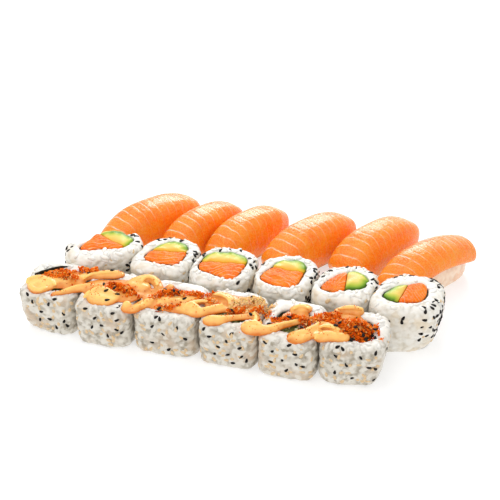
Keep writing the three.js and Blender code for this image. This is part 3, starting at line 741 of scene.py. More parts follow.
def seed_look(name, dark, light):
    look = Look(name, IOR=1.45, Specular_IOR_Level=0.2)
    grain = look.noise(0.7, 3)
    look.feed("Base Color", look.ramp(grain, (0.3, dark), (0.75, light)))
    look.feed("Roughness", look.span(grain, 0.3, 0.7, 0.3, 0.5))
    look.bump(grain, 0.08)
    return look.material


TOPPED_RICE = rice_look(
    "rice_of_topped_rolls", light=(0.73, 0.69, 0.61), shade=(0.35, 0.305, 0.23), blush=(0.58, 0.45, 0.32),
    hollow=(0.3, 0.23, 0.15), crease_shade_strength=0.36, rim=(25.5, 0.7),
)
PLAIN_RICE = rice_look(
    "rice_of_plain_rolls", light=(0.84, 0.81, 0.745), shade=(0.7, 0.65, 0.55), blush=(0.77, 0.66, 0.5),
    hollow=(0.45, 0.37, 0.26), crease_shade_strength=0.32, rim=(31, 0.7),
)
NIGIRI_RICE = rice_look(
    "rice_of_nigiri", light=(0.93, 0.74, 0.57), shade=(0.88, 0.64, 0.46), blush=(0.91, 0.62, 0.43),
    hollow=(0.7, 0.44, 0.27), crease_shade_strength=0.5, rim=(30, 0),
)
NORI_LOOK = nori_look()
SLICE_LOOK = salmon_look(
    "salmon_slice", 0.09, flesh=(1.0, 0.2, 0.005), warm=(1.0, 0.27, 0.012), speckled=(0.95, 0.37, 0.03),
    fat_colour=(1.0, 0.72, 0.48), fat_share=0.95, shine=0.4, gloss=0.45, depth=0.3,
)
CORE_SALMON = salmon_look(
    "salmon_core", 0.13, flesh=(0.88, 0.11, 0.001), warm=(0.98, 0.2, 0.003), speckled=(0.98, 0.28, 0.01),
    fat_colour=(1.0, 0.6, 0.33), fat_share=0.75, shine=0.12, gloss=0.04, depth=0.1,
)
AVOCADO_LOOK = avocado_look()
FILLING_LOOK = filling_look()
SAUCE_LOOK = sauce_look()
CRUMB_LOOK = crumb_look()
BLACK_SEED = seed_look("black_sesame_seed", (0.004, 0.003, 0.003), (0.02, 0.014, 0.011))
PALE_SEED = seed_look("toasted_sesame_seed", (0.62, 0.43, 0.23), (0.8, 0.62, 0.4))

# --- rice


def ring_profile(height, corner):
    """The rice's outline from the bottom edge up its wall and over to the opening, as (share of the
    way from the opening out, height), evenly spaced."""
    foot = [(0.86, 0), (0.95, 0.8), (0.99, 3.5), (1, height * 0.3)]
    shoulder = ((1, 1.4), (0.985, 0.86), (0.93, 0.45), (0.8, 0.16), (0.58, 0.02))
    rounding = [(across, height - drop * corner) for across, drop in shoulder]
    rim = [(0.22, height - 0.2), (0, height - 0.8)]
    return profile(foot + rounding + rim, RING_WIDTH, 200, RICE_STEP)


def press_grains(points, normals, columns, relief, seed, lie=None):
    """Raises grains of rice from a skin. Returns the moved points, each point's grain tone and how
    deep it lies between grains, where the rice's colour is darkened as painted shade."""
    random = np.random.default_rng(seed)
    kept = np.empty((0, 3))
    centres = []
    for i in random.permutation(len(points)):
        if len(kept) and np.min(np.sum((kept - points[i]) ** 2, axis=1)) < GRAIN_SPACING**2:
            continue
        kept = np.vstack((kept, points[i]))
        centres.append(i)
    rise = np.zeros(len(points))
    tone = np.full(len(points), 0.5)
    for i in centres:
        angle = random.uniform(0, math.pi) if lie is None else random.normal(lie, 0.5)
        first, second, normal = tangents(normals[i], angle)
        away = points - points[i]
        near = np.nonzero(np.sum(away**2, axis=1) < (GRAIN[0] * 1.25) ** 2)[0]
        length = GRAIN[0] * random.uniform(0.8, 1.15)
        width = GRAIN[1] * random.uniform(0.85, 1.25)
        x = away[near] @ first
        y = away[near] @ second + random.uniform(-0.05, 0.05) * x**2
        inside = 1 - (x / length) ** 2 - (y / width) ** 2
        inside[normals[near] @ normal < 0.2] = -1
        hit = inside > 0
        value = random.uniform(0, 0.3) + 0.7 * np.sqrt(inside[hit])
        higher = value > rise[near[hit]]
        index = near[hit][higher]
        rise[index] = value[higher]
        tone[index] = random.uniform(0, 1)
    grid = rise.reshape(-1, columns)
    grid = 0.5 * grid + 0.25 * (np.roll(grid, 1, axis=1) + np.roll(grid, -1, axis=1))
    grid[1:-1] = 0.5 * grid[1:-1] + 0.25 * (grid[2:] + grid[:-2])
    rise = grid.reshape(-1)
    moved = points + normals * (rise * relief)[:, None]
    moved[:, 2] = np.maximum(moved[:, 2], 0)
    return moved, tone, np.clip(1 - rise / 0.65, 0, 1)


def grid_normals(points, rows, columns):
    grid = points.reshape(rows, columns, 3)
    around = np.roll(grid, -1, axis=1) - np.roll(grid, 1, axis=1)
    normals = np.cross(around, np.gradient(grid, axis=0))
    normals /= np.maximum(np.linalg.norm(normals, axis=2, keepdims=True), 1e-9)
    return normals.reshape(-1, 3)


def free_grains(points, normals, where, count, seed):
    """Whole grains that lie on a skin, leaning a little out of it."""
    random = np.random.default_rng(seed)
    heap = Heap()
    shape, faces = BALL_80
    for i in random.choice(np.nonzero(where)[0], size=count, replace=False):
        first, second, normal = tangents(normals[i], random.uniform(0, math.pi))
        lean = random.uniform(-0.35, 0.35)
        first, normal = (
            math.cos(lean) * first + math.sin(lean) * normal,
            math.cos(lean) * normal - math.sin(lean) * first,
        )
        length = GRAIN[0] * random.uniform(0.8, 1.1)
        width = GRAIN[1] * random.uniform(0.8, 1.0)
        x = shape[:, :1] * length
        y = shape[:, 1:2] * width * (1 - 0.12 * shape[:, :1]) + random.uniform(-0.06, 0.06) * x**2
        z = shape[:, 2:] * width * 0.85
        grain = points[i] - normals[i] * GRAIN_SINK + x * first + y * second + z * normal
        heap.add(grain, faces, random.uniform(0.2, 1))
    return heap.all()


def rice_ring(name, at, outer, opening, height, tuck, dip, relief, seed, look, slot):
    """A roll's rice, a skin of pressed grains round the opening, with loose grains on its rim."""
    wall_relief, top_relief, loose, front_relief, corner = relief
    line = ring_profile(height, corner)
    columns = round(2 * math.pi * outer(evenly(OUTLINE_POINTS)).mean() / RICE_STEP)
    rows, angles = len(line), evenly(columns)
    across, z = line[:, :1], line[:, 1:]
    facing = np.maximum(0, np.cos(angles - math.radians(tuck[1])))
    tucked = np.where(across > 0.7, tuck[0] * facing * (1 - z / height) ** 3, 0)
    hole, edge = opening(angles), outer(angles) - tucked - RICE_INSET
    over = RIM_OVERHANG * np.clip(0.5 + 0.6 * lumps(polar(12, angles, 0), 4.5, seed + 3), 0, 1)
    radius = hole + (edge - hole) * across
    radius -= over * smoothstep(-across, -0.25, -0.05) * (z > height / 2)
    skin = polar(radius, angles, z).reshape(-1, 3)
    skin[:, 2] -= RICE_INSET * smoothstep(skin[:, 2], height - 6, height)
    normals = grid_normals(skin, rows, columns)
    level, row = skin[:, 2], np.repeat(np.arange(rows), columns)
    rim = smoothstep(level, height - 6, height - 1.5)
    frontal = -skin[:, 1] / np.maximum(np.hypot(skin[:, 0], skin[:, 1]), 1)
    top_relief = top_relief + (front_relief - top_relief) * smoothstep(frontal, 0.2, 0.75)
    amount = wall_relief + (top_relief - wall_relief) * rim
    amount *= smoothstep(row, 0, 3)
    amount *= smoothstep(rows - 1 - row, -1, 2)
    uneven = 0.35 * lumps(skin, 13, seed) + 0.25 * lumps(skin, 6.5, seed + 50)
    skin = skin + normals * (uneven * (1 - rim))[:, None]
    moved, tone, hollow = press_grains(skin, normals, columns, amount, seed)
    where = (level > height - 4) & (row < rows - 3)
    grains, grain_faces, grain_tone = free_grains(moved, normals, where, loose, seed + 7)
    # The wall of the opening and the underside close the ring.
    closing = ((hole, height - 3.5), (hole, 0), (hole + (outer(angles) - RICE_INSET - hole) * 0.45, 0))
    points = np.vstack((moved, *(polar(radius, angles, low) for radius, low in closing)))
    faces = grid_faces(rows + len(closing), columns, closed_rows=True)
    points, faces = joined(points, faces, grains, grain_faces)
    points[:, 2] = np.maximum(points[:, 2], 0)
    over = points[:, 2] - height
    points[:, 2] = np.where(over > 0, height + 0.9 * np.tanh(over / 0.9), points[:, 2])
    closed = len(closing) * columns
    tone = np.concatenate((tone, np.full(closed, 0.5), grain_tone))
    hollow = np.concatenate((hollow, np.zeros(closed + len(grains))))
    points = dip(points) + (*at, 0)
    make_piece(f"{name}_grains", points, faces, slot, look, [f"{name}_rice"], tone=tone, hollow=hollow)
    return points[: len(skin)], normals


# --- seeds on rice

random_seeds = np.random.default_rng(5)
black, pale = Heap(), Heap()


def seed_shape():
    """A sesame seed: a flattened drop with a pointed end."""
    points, faces = BALL_80
    points = points.copy()
    points[:, 1:] *= 1 - np.array((0.35, 0.2)) * points[:, :1]
    return points * SEED, faces


SEED_SHAPE = seed_shape()


def add_seed(heap, point, normal, angle, size=1.0, sink=0.1):
    axes = tangents(np.asarray(normal, float), angle)
    points, faces = SEED_SHAPE
    x, y, z = (points[:, k : k + 1] * size * axes[k] for k in range(3))
    placed = point - axes[2] * sink + x + y + z
    placed[:, 2] = np.maximum(placed[:, 2], 0.02)
    heap.add(placed, faces, random_seeds.uniform(0, 1))


def seed_near(heap, skin, normals, target, size=1.0):
    """A seed on the skin's point nearest to a target."""
    i = int(np.argmin(np.sum((skin - target) ** 2, axis=1)))
    add_seed(heap, skin[i], normals[i], random_seeds.uniform(0, math.pi), size)


def scatter_seeds(heap, skin, normals, where, count, size=1.0, sink=0.1):
    """Seeds here and there on a skin, none of them on another."""
    placed = []
    for i in random_seeds.permutation(np.nonzero(where)[0]):
        if len(placed) == count:
            break
        if all(np.sum((skin[i] - other) ** 2) > SEED_SPACING**2 for other in placed):
            placed.append(skin[i])
            add_seed(heap, skin[i], normals[i], random_seeds.uniform(0, math.pi), size, sink)


# --- seaweed, fillings


def seaweed_ring(name, at, opening, thickness, height, dip, seed, wave):
    """A thin sheet rolled into a ring, its top edge a little wavy."""
    columns = 130
    angles = evenly(columns)
    base = opening(angles) - GAP + 0.12 * lumps(polar(12, angles, 0), 7, seed)
    outside = ((0, GAP), (0, height * 0.5), (0, height - 1), (0.15, height))
    inside = tuple((1 - depth, level) for depth, level in outside[::-1])
    rows = [polar(base - depth * thickness, angles, level) for depth, level in outside + inside]
    points = np.vstack(rows)
    top = points[:, 2] > height - 2
    points[top, 2] += wave * lumps(points[top], 9, seed)
    faces = grid_faces(len(rows), columns, closed_rows=True)
    make_piece(f"{name}_seaweed", dip(points) + (*at, 0), faces, "nori", NORI_LOOK, [f"{name}_nori"])


def seaweed_edge():
    """The end of the first topped roll's sheet, which stands out of the rice behind its filling."""
    line = resample(smooth_curve(SEAWEED_EDGE, 60), spacing=0.8)
    plan, count = line[:, :2], len(line)
    across = np.gradient(plan, axis=0)
    across = np.stack((across[:, 1], -across[:, 0]), -1) / np.linalg.norm(across, axis=1)[:, None]
    from_end = np.minimum(np.arange(count), np.arange(count)[::-1])
    half = SEAWEED / 2 * np.sqrt(np.clip(from_end / 2, 0.05, 1))
    top = line[:, 2] + 0.25 * lumps(flat(plan), 6, 8)
    rows = []
    for side, drop in ((1, 4), (1, 0.2), (0.5, 0), (-0.5, 0), (-1, 0.2), (-1, 4)):
        rows.append(np.column_stack((plan + across * (side * half)[:, None], top - drop)))
    points = np.stack(rows, axis=1).reshape(-1, 3)
    make_piece("topped_1_seaweed_end", points, tube_faces(count, len(rows)), "nori", NORI_LOOK)


def within(opening, angle):
    """The radius of the filling inside the seaweed."""
    return opening(angle) - 2 * GAP - NORI


def clipped(polygon, start, inward):
    """The part of a polygon on one side of a line through a point, kept a little off it."""
    distance = (polygon - start) @ inward - GAP / 2
    out = []
    for i, j in enumerate(np.roll(np.arange(len(polygon)), -1)):
        if distance[i] >= 0:
            out.append(polygon[i])
        if (distance[i] >= 0) != (distance[j] >= 0):
            t = distance[i] / (distance[i] - distance[j])
            out.append(polygon[i] + t * (polygon[j] - polygon[i]))
    return np.array(out)


def rounded(polygon, count, passes):
    """A closed polygon evenly resampled, its corners softened."""
    points = resample(polygon, count=count, closed=True)
    for _ in range(passes):
        points = 0.5 * points + 0.25 * (np.roll(points, 1, axis=0) + np.roll(points, -1, axis=0))
    return points


def core_piece(name, at, polygon, spread, dip, slot, look, values, seed):
    """A filling that stands in the roll: upright sides and a slightly domed cut face, which spreads a
    little over the seaweed's edge."""
    edge = rounded(polygon, CORE_POINTS, 2)
    middle = edge.mean(axis=0)
    outward = spread(edge)
    rings = [(1, GAP, 0), (1, CORE_TOP * 0.5, 0)]
    for share, drop, spreading in (*CORE_RIM, *((share, 0, 1) for share in CORE_FACE)):
        rings.append((share, CORE_TOP - drop + CORE_BULGE * (1 - share**2), spreading))
    rows = []
    for share, level, spreading in rings:
        ring = middle + (edge + outward * spreading - middle) * share
        rows.append(np.column_stack((ring, np.full(CORE_POINTS, level))))
    points = np.vstack((*rows, (*middle, CORE_TOP + CORE_BULGE)))
    upper = points[:, 2] > CORE_TOP - 1.2
    points[upper, 2] += 0.3 * lumps(points[upper], 7, seed)
    faces = domed_faces(len(rows), CORE_POINTS)
    placed = dip(points) + (*at, 0)
    make_piece(f"{name}_piece", placed, faces, slot, look, [name], **values(points))


# --- topped rolls


def topped_roll(index):
    left, right = TOPPED_CUTS[index] + GAP, TOPPED_CUTS[index + 1] - GAP
    front = TOPPED_FRONTS[index]
    half = ((right - left) / 2, (TOPPED_BACK - front) / 2)
    at = (left + half[0], front + half[1])
    whole = squircle(half, TOPPED_SQUARENESS)
    opening = squircle(TOPPED_OPENING, PLAIN_SQUARENESS)
    name = f"topped_{index + 1}"

    def outer(angle):
        """The first roll's free side is drawn in a little."""
        return whole(angle) - (DRAWN_IN * np.maximum(0, -np.cos(angle)) ** 3 if index == 0 else 0)

    def dip(points):
        return dipped(points, half[1] + 1, TOPPED_HEIGHT, TOPPED_DIP, 0)

    skin, normals = rice_ring(
        name, at, outer, opening, TOPPED_HEIGHT, TOPPED_TUCKS[index], dip, TOPPED_RELIEF, 100 + index,
        TOPPED_RICE, "topped_rice",
    )
    seaweed_ring(name, at, opening, NORI, TOPPED_FILLING_TOP, dip, index, 0.4)
    tops.add(skin)
    tops.add(chopped_filling(name, at, opening, dip, 40 + index))

    for x, z in FRONT_SEEDS[index]:
        seed_near(black, skin, normals, np.array((at[0] + x, front, z)), FRONT_BLACK)
    wall = (normals[:, 2] < 0.35) & (skin[:, 2] > 2.5)
    scatter_seeds(pale, skin, normals, wall & (normals[:, 1] < -0.5), 25, FRONT_PALE, PALE_SINK)
    sides = [(normals[:, 1] > 0.5, 7, 9)]
    if index in (0, 5):
        sides.append((normals[:, 0] * (-1 if index == 0 else 1) > 0.6, 9, 11))
    for side, black_count, pale_count in sides:
        scatter_seeds(black, skin, normals, wall & side, black_count)
        scatter_seeds(pale, skin, normals, wall & side, pale_count, TOPPED_PALE, PALE_SINK)


def chopped_filling(name, at, opening, dip, seed):
    """Chopped filling pressed into the opening: an upright core with pieces of it on top."""
    random = np.random.default_rng(seed)
    angles = evenly(MIX_POINTS)
    radius = within(opening, angles)
    rows = [polar(share * radius, angles, level) for share, level in MIX_RINGS]
    points = np.vstack((*rows, (0, 0, MIX_RINGS[-1][1])))
    heap = Heap()
    shape, shape_faces = BALL_80
    for _ in range(MIX_CHUNKS):
        angle, share = random.uniform(0, 2 * math.pi), math.sqrt(random.uniform(0, 1))
        reach = float(within(opening, np.array(angle))) - 2.2
        centre = polar(share * reach, angle, random.uniform(27.6, 29.2))
        size = random.uniform((1.6, 1.2, 0.9), (3.0, 2.0, 1.6))
        chunk = shape * (1 + 0.2 * random.uniform(-1, 1, len(shape)))[:, None] * size
        axes = tangents(random.normal(size=3), random.uniform(0, math.pi))
        heap.add(centre + chunk @ np.array(axes), shape_faces, random.uniform(0, 1))
    chunks, chunk_faces, tone = heap.all()
    tone = np.concatenate((np.full(len(points), 0.1), tone))
    points, faces = joined(points, domed_faces(len(rows), MIX_POINTS), chunks, chunk_faces)
    points = dip(points) + (*at, 0)
    make_piece(f"{name}_mix", points, faces, "filling", FILLING_LOOK, [f"{name}_filling"], tone=tone)
    return points


# --- plain rolls


def plain_roll(index):
    roll = PLAIN_ROLLS[index]
    at, half = roll["at"], (roll["size"][0] / 2, roll["size"][1] / 2)
    whole = squircle(half, PLAIN_SQUARENESS, math.radians(roll.get("turn", 0)))
    outer = pressed_corners(whole, *roll["pressed"])
    opening = smooth_outline(PLAIN_OPENINGS[index])
    name, reach = f"roll_{index + 1}", half[1] + 1

    def face(points):
        return dipped(points, reach, PLAIN_HEIGHT, roll["dip"], 0)

    def rim(points):
        lower = dipped(points, reach, PLAIN_HEIGHT, roll["dip"], roll.get("back_drop", 0))
        if index:
            lower[:, 2] *= 1 - REAR_DROP / PLAIN_HEIGHT * smoothstep(points[:, 1], 5, 17)
        return lower

    skin, normals = rice_ring(
        name, at, outer, opening, PLAIN_HEIGHT, roll.get("tuck", (0, 0)), rim, PLAIN_RELIEF, 200 + index,
        PLAIN_RICE, "rice",
    )
    seaweed_ring(name, at, opening, SEAWEED, PLAIN_HEIGHT - 2, rim, 9 + index, 0.8)

    angles = evenly(OUTLINE_POINTS)
    core = polar(within(opening, angles), angles, 0)[:, :2]
    start, end = np.array(PLAIN_PARTINGS[index], float)
    across = np.array((start[1] - end[1], end[0] - start[0])) / np.linalg.norm(end - start)
    avocado_side = across * roll.get("avocado_side", 1)
    avocado, salmon = clipped(core, start, avocado_side), clipped(core, start, -avocado_side)

    def spread(edge):
        """How far the cut face reaches past the upright sides, nowhere along the parting."""
        free = smoothstep(np.abs((edge - start) @ across), 0.4, 2.5)
        out = edge / np.linalg.norm(edge, axis=1)[:, None]
        uneven = 0.25 * lumps(flat(edge), 5, 90 + index)
        amount = free * np.maximum(0, 0.25 + uneven + 0.35 * smoothstep(out[:, 1], -0.3, 0.5))
        spreading = out * amount[:, None]
        if index == 0:
            spreading += np.outer(2.8 * smoothstep(edge @ BARE_SIDE, 2, 11), BARE_SIDE)
        return spreading

    def avocado_values(points):
        seam = GOLDEN[index] * (1 - smoothstep(np.abs((points[:, :2] - start) @ across), 0.5, 3.6))
        return {"skin": skin_distance(points, core, avocado.mean(axis=0), index), "seam": seam}

    def salmon_values(points):
        even = np.ones(len(points))
        return {"line": core_lines(points, index), "pale": 0.1 * even, "strong": even}

    for kind, polygon, look, values in (
        ("avocado", avocado, AVOCADO_LOOK, avocado_values),
        ("salmon", salmon, CORE_SALMON, salmon_values),
    ):
        core_piece(f"{name}_{kind}", at, polygon, spread, face, kind, look, values, 60 + index)

    x, y, level = normals[:, 0], normals[:, 1], skin[:, 2]
    away = skin[:, :2] - at
    outside = np.hypot(away[:, 0], away[:, 1]) > 0.8 * half[0]
    angles = np.degrees(np.arctan2(away[:, 1], away[:, 0]))
    for angle, reach, low, high, count in PLAIN_SEEDS[index] + HIDDEN_SEEDS:
        near = np.abs((angles - angle + 180) % 360 - 180) < reach
        where = outside & near & (level > low * DIPPED) & (level < high)
        scatter_seeds(black, skin, normals, where, count, PLAIN_BLACK)
    for where, count in (((np.abs(x) > 0.45) & (level > 6), 22), ((y > 0.4) & (level > 4), 8)):
        scatter_seeds(pale, skin, normals, where, count, PLAIN_PALE, PALE_SINK)
    for x, z in PALE_PATCHES.get(index, ()):
        seed_near(pale, skin, normals, np.array((at[0] + x, at[1] - half[1], z)), PLACED_PALE)


def skin_distance(points, core, middle, index):
    """How far each point of an avocado is from the fruit's skin, on the side that the roll's has it."""
    direction = core - middle
    angle = np.arctan2(direction[:, 1], direction[:, 0]) - math.radians(AVOCADO_SKIN[index])
    skin = core[np.cos(angle) > 0.25]
    nearest = []
    for outline in (skin, core):
        gaps = points[:, None, :2] - outline[None, :, :]
        nearest.append(np.sqrt(np.min(np.sum(gaps**2, axis=2), axis=1)))
    return np.minimum(nearest[0], 1 + 1.7 * nearest[1])


def core_lines(points, index):
    """Where a point lies between the fat lines of the salmon in a roll."""
    x, y = points[:, 0], points[:, 1]
    if index == 4:  # its lines fan out
        return np.arctan2(y + 12, x + 9) * 4.2 + 0.3 * np.sin(0.5 * x)
    wave = 1.1 * np.sin(0.3 * (x - 0.6 * y) + index)
    wave += 1.1 * lumps(points * (0.4, 1, 0), 8, 70 + index)
    return (y + CORE_SLANTS[index] * x + wave) / CORE_SPACINGS[index]


# --- nigiri


def at_end(piece, key, along):
    return np.where(along < 0, FRONT_END[key], piece[key])


def half_width(piece, along):
    return piece["width"] / 2 * (1 - at_end(piece, "end_taper", along) * np.abs(along) ** 4)


def slice_thickness(across):
    return SALMON_THICKNESS + (SALMON_EDGE_THICKNESS - SALMON_THICKNESS) * across**2


def roundness(piece):
    """The power that shapes a slice's cross-section, fuller where its edge is higher."""
    return 0.5 + 0.018 * piece["edge"]


def arch(piece, along, across, depth):
    """A point of the salmon slice: along and across from -1 to 1, depth 0 outside to 1 inside."""
    drop = np.where(along < 0, RIDGE_DROP[0], RIDGE_DROP[1] * piece["end_drop"])
    fall = np.where(along < 0, *EDGE_DROP)
    ridge = NIGIRI_HEIGHT - drop * np.abs(along) ** at_end(piece, "end_curve", along)
    hem = (piece["edge"] - LOWER_HEM * (piece["edge"] < HANGING)) * (1 - fall * along**2)
    corner = at_end(piece, "end_corner", along) * np.clip((np.abs(along) - 0.78) / 0.22, 0, 1) ** 2
    arc = across * (1 - corner) * math.pi / 2
    inward = depth * slice_thickness(across)
    half = half_width(piece, along) - inward * np.abs(np.sin(arc))
    rise = ridge - hem - inward * np.cos(arc)
    x = along * piece["length"] / 2 * (1 - 0.07 * np.abs(across) ** 3)
    y = np.sign(across) * half * np.abs(np.sin(arc)) ** roundness(piece)
    return np.stack((x, y, hem + rise * np.maximum(np.cos(arc), 0) ** roundness(piece)), -1)


def turned(points, piece):
    c, s = math.cos(math.radians(piece["turn"])), math.sin(math.radians(piece["turn"]))
    x = points[:, 0] * c - points[:, 1] * s + piece["at"][0]
    y = points[:, 0] * s + points[:, 1] * c + piece["at"][1]
    return np.stack((x, y, points[:, 2]), -1)


def eased(count, share):
    """Steps from -1 to 1, closer together in the last share at both ends."""
    t = np.linspace(-1, 1, count)
    return np.sign(t) * (1 - (1 - np.abs(t)) ** (1 + share))


def salmon_slice(index):
    piece = NIGIRI[index]
    along, across = np.meshgrid(eased(110, 0.35), eased(48, 0.35), indexing="ij")
    rows, columns = along.shape
    side = np.clip((np.abs(across) - SLICE_SIDE) / (1 - SLICE_SIDE), 0, 1)
    end = np.clip((np.abs(along) - SLICE_END) / (1 - SLICE_END), 0, 1)
    closing = np.sqrt(1 - side**2) * np.sqrt(1 - end**2)
    depth = 0.5 * (1 - closing)
    outside = arch(piece, along, across, depth).reshape(-1, 3)
    inside = arch(piece, along, across, 1 - depth).reshape(-1, 3)
    # The underside shares the points of the sheet's edge with the upper side.
    inner = closing.reshape(-1) > 1e-6
    numbers = np.arange(rows * columns)
    numbers[inner] = rows * columns + np.arange(inner.sum())
    upper = grid_faces(rows, columns, closed_columns=False)
    faces = [f[::-1] for f in upper] + numbers[upper].tolist()
    points = np.vstack((outside, inside[inner]))
    along, across = (np.concatenate((v.reshape(-1), v.reshape(-1)[inner])) for v in (along, across))
    x, y = along * piece["length"] / 2, across * piece["width"] / 2
    line = (x + y * (0.1 - 0.25 * x / 38) + 0.5 * lumps(points, 22, 300 + index)) / FAT_SPACING
    groove = np.abs((line + 0.5) % 1 - 0.5)
    points[:, 2] -= 0.3 * np.exp(-((groove / 0.07) ** 2)) * (1 - np.abs(across)) ** 0.5
    points += 0.45 * lumps(points, 15, 400 + index)[:, None] * np.array((0.3, 0.6, -0.4))
    # Paler below 12 mm, plus painted light on the side towards the lamps and a painted highlight in broken
    # streaks along the crest's back half, stronger on the sixth slice.
    pale = 0.22 * smoothstep(-points[:, 2], -12, -3) + 0.38 * smoothstep(across, 0.2, 0.9)
    crest_highlight = np.exp(-(((across + 0.02) / 0.24) ** 2)) * smoothstep(along, -0.4, 0.4)
    highlight_streaks = np.clip(0.35 + 0.7 * lumps(points * (1, 0.3, 0.3), 3.2, 500 + index), 0, 1)
    pale = np.clip(pale + (1.6 if index == 5 else 1) * crest_highlight * highlight_streaks, 0, 1.5)
    strong = 0.12 + 0.88 * smoothstep(across, -0.6, 0.1)
    strong *= 1 - smoothstep(np.abs(along), 0.93, 0.97)
    name = f"nigiri_{index + 1}"
    make_piece(
        f"{name}_slice", turned(points, piece), faces, "salmon", SLICE_LOOK, [f"{name}_salmon"],
        line=line, pale=pale, strong=strong,
    )


def roof_height(piece, points):
    """Height of the slice's underside over points."""
    along = np.clip(points[:, 0] * 2 / piece["length"], -1, 1)
    across = np.zeros(len(points))
    for _ in range(6):
        half = half_width(piece, along) - slice_thickness(across) * np.sin(across * math.pi / 2)
        share = np.clip(np.abs(points[:, 1]) / half, 0, 1)
        across = np.arcsin(share ** (1 / roundness(piece))) * 2 / math.pi
    return arch(piece, along, across, 1)[:, 2]


def nigiri_rice(index):
    """The rice under a slice: a rounded block of pressed grains that stays below the slice."""
    piece = NIGIRI[index]
    foot = arch(piece, np.array(0.0), np.array(1.0), 1)
    half = (0.45 * piece["length"], abs(foot[1]) - 1.2)
    line = profile(NIGIRI_PROFILE, half[1], 160, NIGIRI_STEP)
    angle = np.linspace(0, 2 * math.pi, 2000, endpoint=False)
    ring = polar(squircle(half, 3.2)(angle), angle, 0)
    ring = resample(ring[:, :2], spacing=NIGIRI_STEP, closed=True)
    columns, rows = len(ring), len(line)
    level = np.broadcast_to(line[:, None, 1:], (rows, columns, 1))
    skin = np.concatenate((line[:, None, :1] * ring[None], level), -1).reshape(-1, 3)
    skin[:, 0] *= np.where(skin[:, 0] < 0, FRONT_SHARE, 1)
    normals = grid_normals(skin, rows, columns)
    amount = 0.9 * smoothstep(np.repeat(np.arange(rows), columns), 0, 3)
    moved, tone, hollow = press_grains(skin, normals, columns, amount, 500 + index, 1.3)
    moved[:, 2] = np.maximum(np.minimum(moved[:, 2], roof_height(piece, moved) - 1.0), 0)
    points = np.vstack((moved, (0, 0, min(RICE_HEIGHT, NIGIRI_HEIGHT - SALMON_THICKNESS - 1))))
    name = f"nigiri_{index + 1}"
    make_piece(
        f"{name}_grains", turned(points, piece), domed_faces(rows, columns), "rice", NIGIRI_RICE,
        [f"{name}_rice"], tone=np.append(tone, 0.5), hollow=np.append(hollow, 0),
    )


# --- sauce and toppings


def sag(y):
    """How much lower the sauce lies towards the rolls' fronts."""
    return 1.8 * (np.clip(3 - y, 0, 6) / 6) ** 2


def front_row_dip(x, y):
    """How much lower than nominal the front row's tops are at a place."""
    fronts = np.asarray(TOPPED_FRONTS)[np.clip(np.searchsorted(TOPPED_CUTS, x) - 1, 0, 5)]
    half = (TOPPED_BACK - fronts) / 2
    middle = fronts + half
    return TOPPED_DIP * np.clip((half + 1 - (y - middle)) / (2 * (half + 1)), 0, 1)


def tube(stroke, level, tallest):
    """A stroke of sauce as a closed tube with round ends."""
    line = resample(smooth_curve(stroke, 160), spacing=SAUCE_STEP)
    forward = np.gradient(line[:, :2], axis=0)
    forward /= np.linalg.norm(forward, axis=1)[:, None]
    sideways = np.stack((forward[:, 1], -forward[:, 0]), -1)
    width = line[:, 2].copy()
    travelled = np.arange(len(line)) * SAUCE_STEP
    for distance in (travelled, travelled[::-1]):
        near = np.clip(distance / (0.9 * line[:, 2]), 0, 1)
        width *= np.sqrt(np.clip(1 - (1 - near) ** 2, 0.02, 1))
    around = evenly(SAUCE_SIDES)
    plan = line[:, None, :2] + sideways[:, None] * (width[:, None] * np.cos(around))[..., None]
    half = SAUCE_FLATNESS * width
    half = half / np.sqrt(1 + (half / tallest) ** 2)
    height = level - sag(line[:, 1])[:, None] + half[:, None] * np.sin(around)
    points = np.concatenate((plan, height[..., None]), -1).reshape(-1, 3)
    return points, tube_faces(len(line), SAUCE_SIDES)


def sauce():
    """All strokes melted into one glossy body that lies on the rolls."""
    points, faces = np.empty((0, 3)), []
    strokes = [(stroke, SAUCE_LEVEL, SAUCE_THICKEST) for stroke in SAUCE_STROKES]
    strokes += [(stroke, BED_LEVEL, BED_THICKNESS) for stroke in SAUCE_BEDS]
    strokes += [(stroke, level, SAUCE_THICKEST) for level, stroke in SAUCE_RIDGES]
    for stroke in strokes:
        points, faces = joined(points, faces, *tube(*stroke))
    mesh = bpy.data.meshes.new("strokes")
    mesh.from_pydata(points.tolist(), [], faces)
    strokes = new_object("strokes", mesh)
    melt = strokes.modifiers.new("melt", "REMESH")
    melt.mode = "VOXEL"
    melt.voxel_size = SAUCE_VOXEL
    soften = strokes.modifiers.new("soften", "SMOOTH")
    soften.factor = 0.5
    soften.iterations = 6
    melted = strokes.evaluated_get(bpy.context.evaluated_depsgraph_get()).to_mesh()
    body = np.empty(len(melted.vertices) * 3)
    melted.vertices.foreach_get("co", body)
    body = body.reshape(-1, 3)
    faces = [list(p.vertices) for p in melted.polygons]
    bpy.data.objects.remove(strokes)
    # How high each point lies, for the painted light on the ridges and painted shade in the lows.
    high = smoothstep(body[:, 2], SAUCE_LEVEL - 0.6, SAUCE_LEVEL + 2.8)
    body[:, 2] *= 1 - front_row_dip(body[:, 0], body[:, 1]) / TOPPED_HEIGHT
    body[:, 2] += 0.25 * lumps(body, 8, 3)
    make_piece("sauce_strokes", body, faces, "sauce", SAUCE_LOOK, high=high)
    tops.add(body)


def turned_shards(random, shape, sizes):
    """Copies of a shape, each roughened, sized and turned its own way."""
    count = len(sizes)
    first = random.normal(size=(count, 3))
    first /= np.linalg.norm(first, axis=1)[:, None]
    second = np.cross(first, random.normal(size=(count, 3)))
    second /= np.linalg.norm(second, axis=1)[:, None]
    axes = np.stack((first, second, np.cross(first, second)), axis=1)
    rough = 1 + 0.3 * random.uniform(-1, 1, (count, len(shape)))
    return (shape[None] * rough[..., None] * sizes[:, None, :]) @ axes


